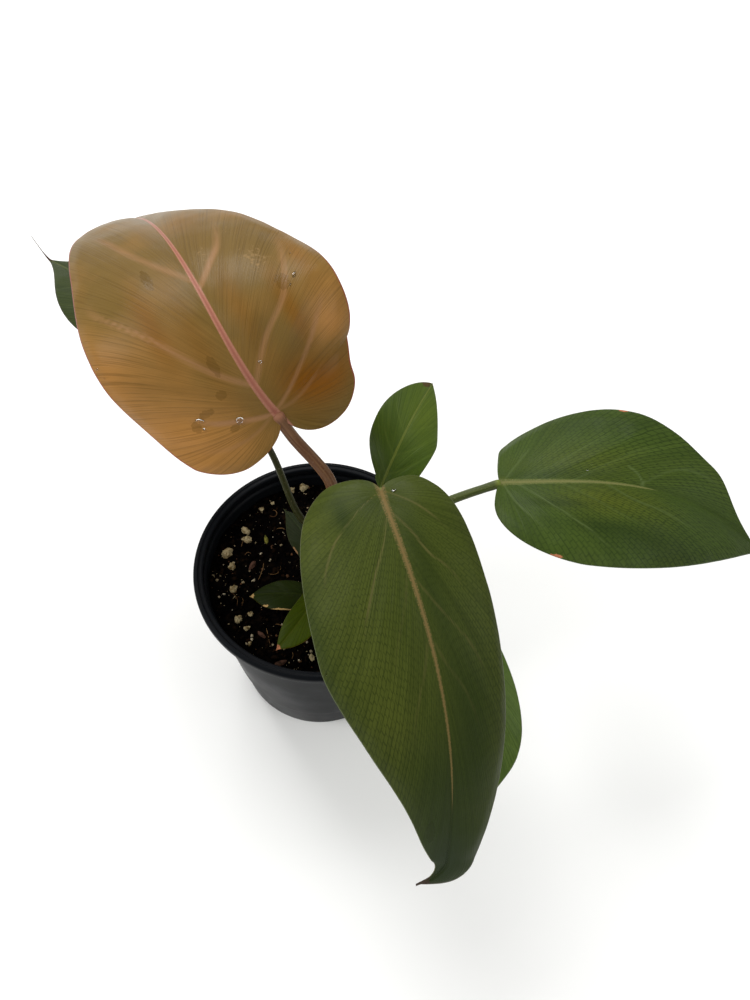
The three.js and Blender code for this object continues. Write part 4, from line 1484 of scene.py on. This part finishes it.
RIGHT_LEAF = Blade(
    "right_leaf", RIGHT_GREEN, Slot.DARK,
    rib=((70, 19, 143), (100, 17, 151), (137, 22, 161), (181, 9, 123)),
    face=((-0.03, 0.18, 0.98), (0.28, -0.49, 0.83)),
    left=Half(36.6, 0.026, 0.46, 0.41, 0.41, 0.22, (0.8, -0.22, 0.06)),
    right=Half(34.3, 0.02, 0.31, 0.32, 0.82, 0.06),
    fold=(3, 8), roll_left=(-23, -14), roll_right=(-19, -21), wave=(0.6, 1.58, 0.21, 0),
    rows=200, columns=42, rib_width=(1.9, 0.4), rib_length=0.56, rib_rise=0.1, quilt=0.7, seed=41,
    laterals=laterals(
        (0.7, (8, 1), (17, 7), (28, 14), (38, 20), (48, 26), (60, 28)),
        (0.5, (48, 1), (59, 6), (71, 8), (83, 10), (94, 9)),
        (0.6, (1, 1), (7, 10), (13, 16), (22, 24)),
        (0.5, (1, -1), (9, -12), (16, -20)),
        (0.3, (10, -1), (29, -10), (39, -16), (54, -24)),
        (0.4, (62, -1), (77, -11), (86, -12), (96, -10)),
        (0.25, (34, -1), (48, -8), (62, -16), (76, -20)),
        (0.25, (28, 1), (42, 8), (56, 14), (72, 18)),
        (0.9, (57, -8), (61, -5), (63, -1), (63, 3)),
    ),
    warmth=spots((48, 8, 22, 8, 0.9), (40, -10, 26, 8, 0.5), (1, 0, 2.5, 2.5, 1.2)),
    shade=spots((26, 10.5, 18, 2, 0.45), (44, 19, 18, 3, 0.4), (24, -3.4, 22, 2.2, 0.3),
                (70, 22, 22, 7, 0.5), (52, -28, 30, 6, 0.3)),
    dry=spots((24, 32.6, 2.8, 0.8, 1.1), (57, -35.4, 2, 0.9, 1.2)),
)
BACK_LEAF = Blade(
    "back_leaf", BACK_GREEN, Slot.MID,
    rib=((-54, 59, 169), (-77, 68, 172), (-108, 88, 162), (-140, 115, 149)),
    face=((0, -0.09, 1), (-0.05, -0.03, 1)),
    left=Half(23.7, 0.1, 0.45, 0.4, 0.55, 0.2, (0.9, -0.1, 0.07)),
    right=Half(21.2, 0.1, 0.45, 0.38, 0.63, 0.21),
    fold=(5, 6), roll_left=(-18, -17), roll_right=(-17, -18), wave=(0.8, 1.54, 0, 0), drip=(-6.5, 7.5, 5),
    laterals=swept_laterals((2, 14, 30, 48, 66), 24, 20), dry=spots((104, 0, 7, 5, 0.9)), seed=51,
)
LOW_LEAF = Blade(
    "low_leaf", LOW_GREEN, Slot.MID,
    rib=((42, -18, 116), (55, -43, 120), (76, -72, 104), (75, -92, 79)),
    face=((0.13, -0.19, 0.97), (0.17, -0.59, 0.79)),
    left=Half(19.5, 0.1, 0.45, 0.46, 0.75, 0.19), right=Half(22, 0.1, 0.45, 0.4, 0.6, 0.2),
    fold=(5, 6), roll_left=(-18, -18), roll_right=(-17, -17), wave=(0.8, 1.5, 0, 0),
    laterals=swept_laterals((2, 12, 26, 42, 58), 22, 18), seed=61,
)
SMALL_LEAF = Blade(
    "small_leaf", SMALL_GREEN, Slot.MID,
    rib=((23, 22, 126), (27, 25, 147), (33, 43, 151), (41, 67, 143)),
    face=((-0.19, -0.04, 0.98), (0.37, -0.23, 0.9)),
    left=Half(13.9, 0.02, 0.45, 0.54, 0.71, 0.01),
    right=Half(14.5, -0.05, 0.43, 0.51, 0.43, 0.01, (0.86, -0.08, 0.08)),
    fold=(-4, 5), roll_left=(-26, -17), roll_right=(-21, -23), wave=(-2, 1.55, 0.36, -0.13),
    rows=130, columns=26, rib_width=(0.7, 0.25), quilt=0.3, uneven=0.15, seed=71,
    laterals=swept_laterals((1, 8, 18, 30), 16, 11),
    warmth=spots((45, 4, 16, 9, 0.8)), dry=spots((57, -2.5, 2.6, 2.2, 1.0), (59, 2, 1.5, 2, 0.6)),
)
JUVENILE_LEFT = Blade(
    "juvenile_leaf_left", JUVENILE_DARK, Slot.JUVENILE,
    rib=((-1, -16, 97), (-7, -17, 101), (-21, -17, 98), (-28, -17, 92)),
    face=((0, -0.08, 1), (0, -0.08, 1)),
    left=Half(7.5, 0.06, 0.5, 0.46, 0.61, 0.1), right=Half(5.7, 0.06, 0.5, 0.44, 0.61, 0.09),
    fold=(9, 6), roll_left=(-17, -17), roll_right=(-17, -17), wave=(-0.5, 1.53, 0, 0),
    rows=110, columns=22, rib_width=(0.45, 0.2), rib_rise=0.05, quilt=0.15, uneven=0.1, seed=81,
    laterals=swept_laterals((1, 6, 12), 8, 5),
    dry=spots((27.6, 0, 1.6, 2, 1.1), (14, -7.2, 5, 0.5, 0.9), (20, -5.4, 2, 0.6, 0.8)),
)
JUVENILE_FRONT = replace(
    JUVENILE_LEFT, name="juvenile_leaf_front", finish=JUVENILE_BRIGHT,
    rib=((2, -14, 102), (0, -24, 104), (-8, -36, 100), (-13, -41, 95)),
    left=Half(8, 0.06, 0.5, 0.45, 0.61, 0.1), right=Half(5.7, 0.06, 0.5, 0.45, 0.61, 0.09),
    dry=spots((32, 0, 2.6, 3, 1.1)), seed=91,
)
JUVENILE_BACK = replace(
    JUVENILE_LEFT, name="juvenile_leaf_back", finish=JUVENILE_BLUE,
    rib=((1, 1, 98), (-4, 5, 102), (-9, 12, 102), (-19, 23, 101)),
    left=Half(7.5, 0.06, 0.5, 0.45, 0.6, 0.1), right=Half(7.5, 0.06, 0.5, 0.45, 0.6, 0.1),
    dry=spots((12, -7.3, 2, 0.6, 1.0)), seed=95,
)

PETIOLES = (
    Petiole(BRONZE_LEAF, ((13, 3, 103), (7, 6, 114), (5, 8, 130), (3, 8, 150), (-10.8, 12.8, 168)),
            (2.5, 2.2), MAUVE_STALK, Slot.MAUVE),
    Petiole(FRONT_LEAF, ((14, 3.5, 108), (20, 1, 124), (23, -6, 150)), (2.6, 2.1), GREEN_STALK),
    Petiole(RIGHT_LEAF, ((13, 3, 103), (30, 8, 119), (51, 14, 134)), (2.1, 1.7), GREEN_STALK),
    Petiole(BACK_LEAF, ((9.5, 2.7, 95), (3, 8, 106), (-8.6, 11.6, 112), (-23, 27, 138)), (1.8, 1.3),
            OLIVE_STALK),
    Petiole(LOW_LEAF, ((11, 3, 97), (26, -7, 106)), (1.7, 1.3), GREEN_STALK),
    Petiole(SMALL_LEAF, ((12, 3, 101), (18, 12, 110)), (1.5, 1.1), GREEN_STALK),
    Petiole(JUVENILE_LEFT, ((5, 2, 88), (2, -8, 92)), (1.0, 0.7), OLIVE_STALK, sides=16, rows=50),
    Petiole(JUVENILE_FRONT, ((6, 2, 90), (5, -6, 96)), (1.0, 0.7), OLIVE_STALK, sides=16, rows=50),
    Petiole(JUVENILE_BACK, ((6, 2, 92.5), (3, 1.5, 94.5)), (1.0, 0.7), OLIVE_STALK, sides=16, rows=50),
)

DROPS = (
    (BRONZE_LEAF, (
        Drop(-1, 0.92, 0.59, 4.0, 1.2, 0.35), Drop(1, 0.7, 0.5, 3.0, 2.2), Drop(1, 0.63, 0.5, 1.6, 0.8),
        Drop(-1, 0.49, 0.39, 3.0, 1.1, 0.22), Drop(-1, 0.52, 0.37, 0.9, 0.9),
        Drop(-1, 0.25, 0.37, 2.6, 2.2, 0.2), Drop(-1, 0.95, 0.47, 1.1, 0.8),
        Drop(-1, 0.93, 0.46, 0.8, 0.6), Drop(1, 0.14, 0.52, 0.8, 1.4), Drop(1, 0.8, 0.53, 0.8, 0.5),
    )),
    (FRONT_LEAF, (Drop(-1, 0.19, 0.33, 1.6, 0.9), Drop(1, 0.95, 0.49, 1.2, 0.6, 0.3))),
    (RIGHT_LEAF, (
        Drop(-1, 0.3, 0.66, 0.9, 0.6, 0.3), Drop(-1, 0.22, 0.68, 1.0, 0.5, 0.3),
        Drop(-1, 0.4, 0.64, 0.8, 0.5, 0.3), Drop(1, 0.75, 0.3, 1.0, 0.8, 0.3),
        Drop(1, 0.3, 0.58, 0.8, 0.5, 0.3),
    )),
    (JUVENILE_LEFT, (Drop(1, 0.14, 0.5, 1.7, 1.5, 0.6),)),
)


# ---------------------------------------------------------------- studio


def pose(right: Array, up: Array, spot: Point) -> Matrix:
    """The matrix that turns an object's X and Y to right and up, and moves it to the spot, in metres."""
    turn = np.eye(4)
    turn[:3, :3] = np.column_stack([right, up, np.cross(right, up)])
    turn[:3, 3] = spot
    return Matrix(turn.tolist())


@dataclass(frozen=True)
class Studio:
    """A pale floor, soft light from all round with one large softbox, and the camera."""

    eye: Point = (0.02117, -0.15060, 0.38537)  # metres
    tilt: float = 57.3  # degrees below level
    roll: float = 5.56
    lens: float = 27.04
    floor_size: float = 6.0
    sky: float = 0.5

    def build(self) -> None:
        """Sets up floor, light and camera."""
        self.floor()
        self.light()
        self.camera()

    def floor(self) -> None:
        """A square floor just under the pot's foot."""
        half = self.floor_size / 2
        mesh = bpy.data.meshes.new("studio_floor")
        corners = [(-half, -half), (half, -half), (half, half), (-half, half)]
        mesh.from_pydata([(x, y, -0.0002) for x, y in corners], [], [(0, 1, 2, 3)])
        mesh.materials.append(StudioPaint().build())
        link_object("studio_floor", mesh)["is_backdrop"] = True

    def light(self) -> None:
        """A white surround, a large softbox above and behind, and a weaker one on each side."""
        world = bpy.data.worlds.new("studio_surround")
        world.use_nodes = True
        background = next(n for n in world.node_tree.nodes if n.type == "BACKGROUND")
        background.inputs["Color"].default_value = (1.0, 1.0, 1.0, 1.0)
        background.inputs["Strength"].default_value = self.sky
        bpy.context.scene.world = world
        boxes = (
            ("softbox_back", (-0.9, 1.6, 2.3), 1.6, 64.0),
            ("softbox_left", (-1.9, -0.6, 1.7), 1.2, 28.0),
            ("softbox_right", (1.9, -0.7, 1.7), 1.2, 16.0),
        )
        for name, spot, size, power in boxes:
            lamp = bpy.data.lights.new(name, "AREA")
            lamp.shape = "SQUARE"
            lamp.size = size
            lamp.energy = power
            away = unit(np.array(spot) - np.array([0.0, 0.0, 0.1]))
            side = unit(np.cross([0.0, 0.0, 1.0], away))
            link_object(name, lamp).matrix_world = pose(side, np.cross(away, side), spot)

    def camera(self) -> None:
        """A camera above and in front, looking down along +Y, rolled a little."""
        tilt, roll = math.radians(self.tilt), math.radians(self.roll)
        level = np.array([1.0, 0.0, 0.0])
        top = np.array([0.0, math.sin(tilt), math.cos(tilt)])
        right = level * math.cos(roll) + top * math.sin(roll)
        up = top * math.cos(roll) - level * math.sin(roll)
        data = bpy.data.cameras.new("camera")
        data.lens = self.lens
        data.sensor_width = 36
        data.clip_start = 0.01
        camera = link_object("camera", data)
        camera.matrix_world = pose(right, up, self.eye)
        bpy.context.scene.camera = camera
        bpy.context.scene.view_settings.view_transform = "Standard"


def main() -> None:
    """Builds the plant from the ground up, then the studio."""
    logging.basicConfig(level=logging.INFO, format="%(name)s: %(message)s")
    cad_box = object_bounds()
    pot = NurseryPot()
    pot.build()
    PottingMix(pot).build()
    Lumps().build()
    Stem().build()
    for petiole in PETIOLES:
        petiole.build()
        petiole.blade.build()
    water = Water().build()
    for blade, drops in DROPS:
        beads = Surface.join([drop_surface(blade, drop, k) for k, drop in enumerate(drops)])
        beads.build(f"{blade.name}_water", water, blade.slot)
    Studio().build()
    boxes = {"cad": cad_box, "visual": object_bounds()}
    {name: [[float(x) for x in corner] for corner in box] for name, box in boxes.items()}


if __name__ == "__main__":
    main()
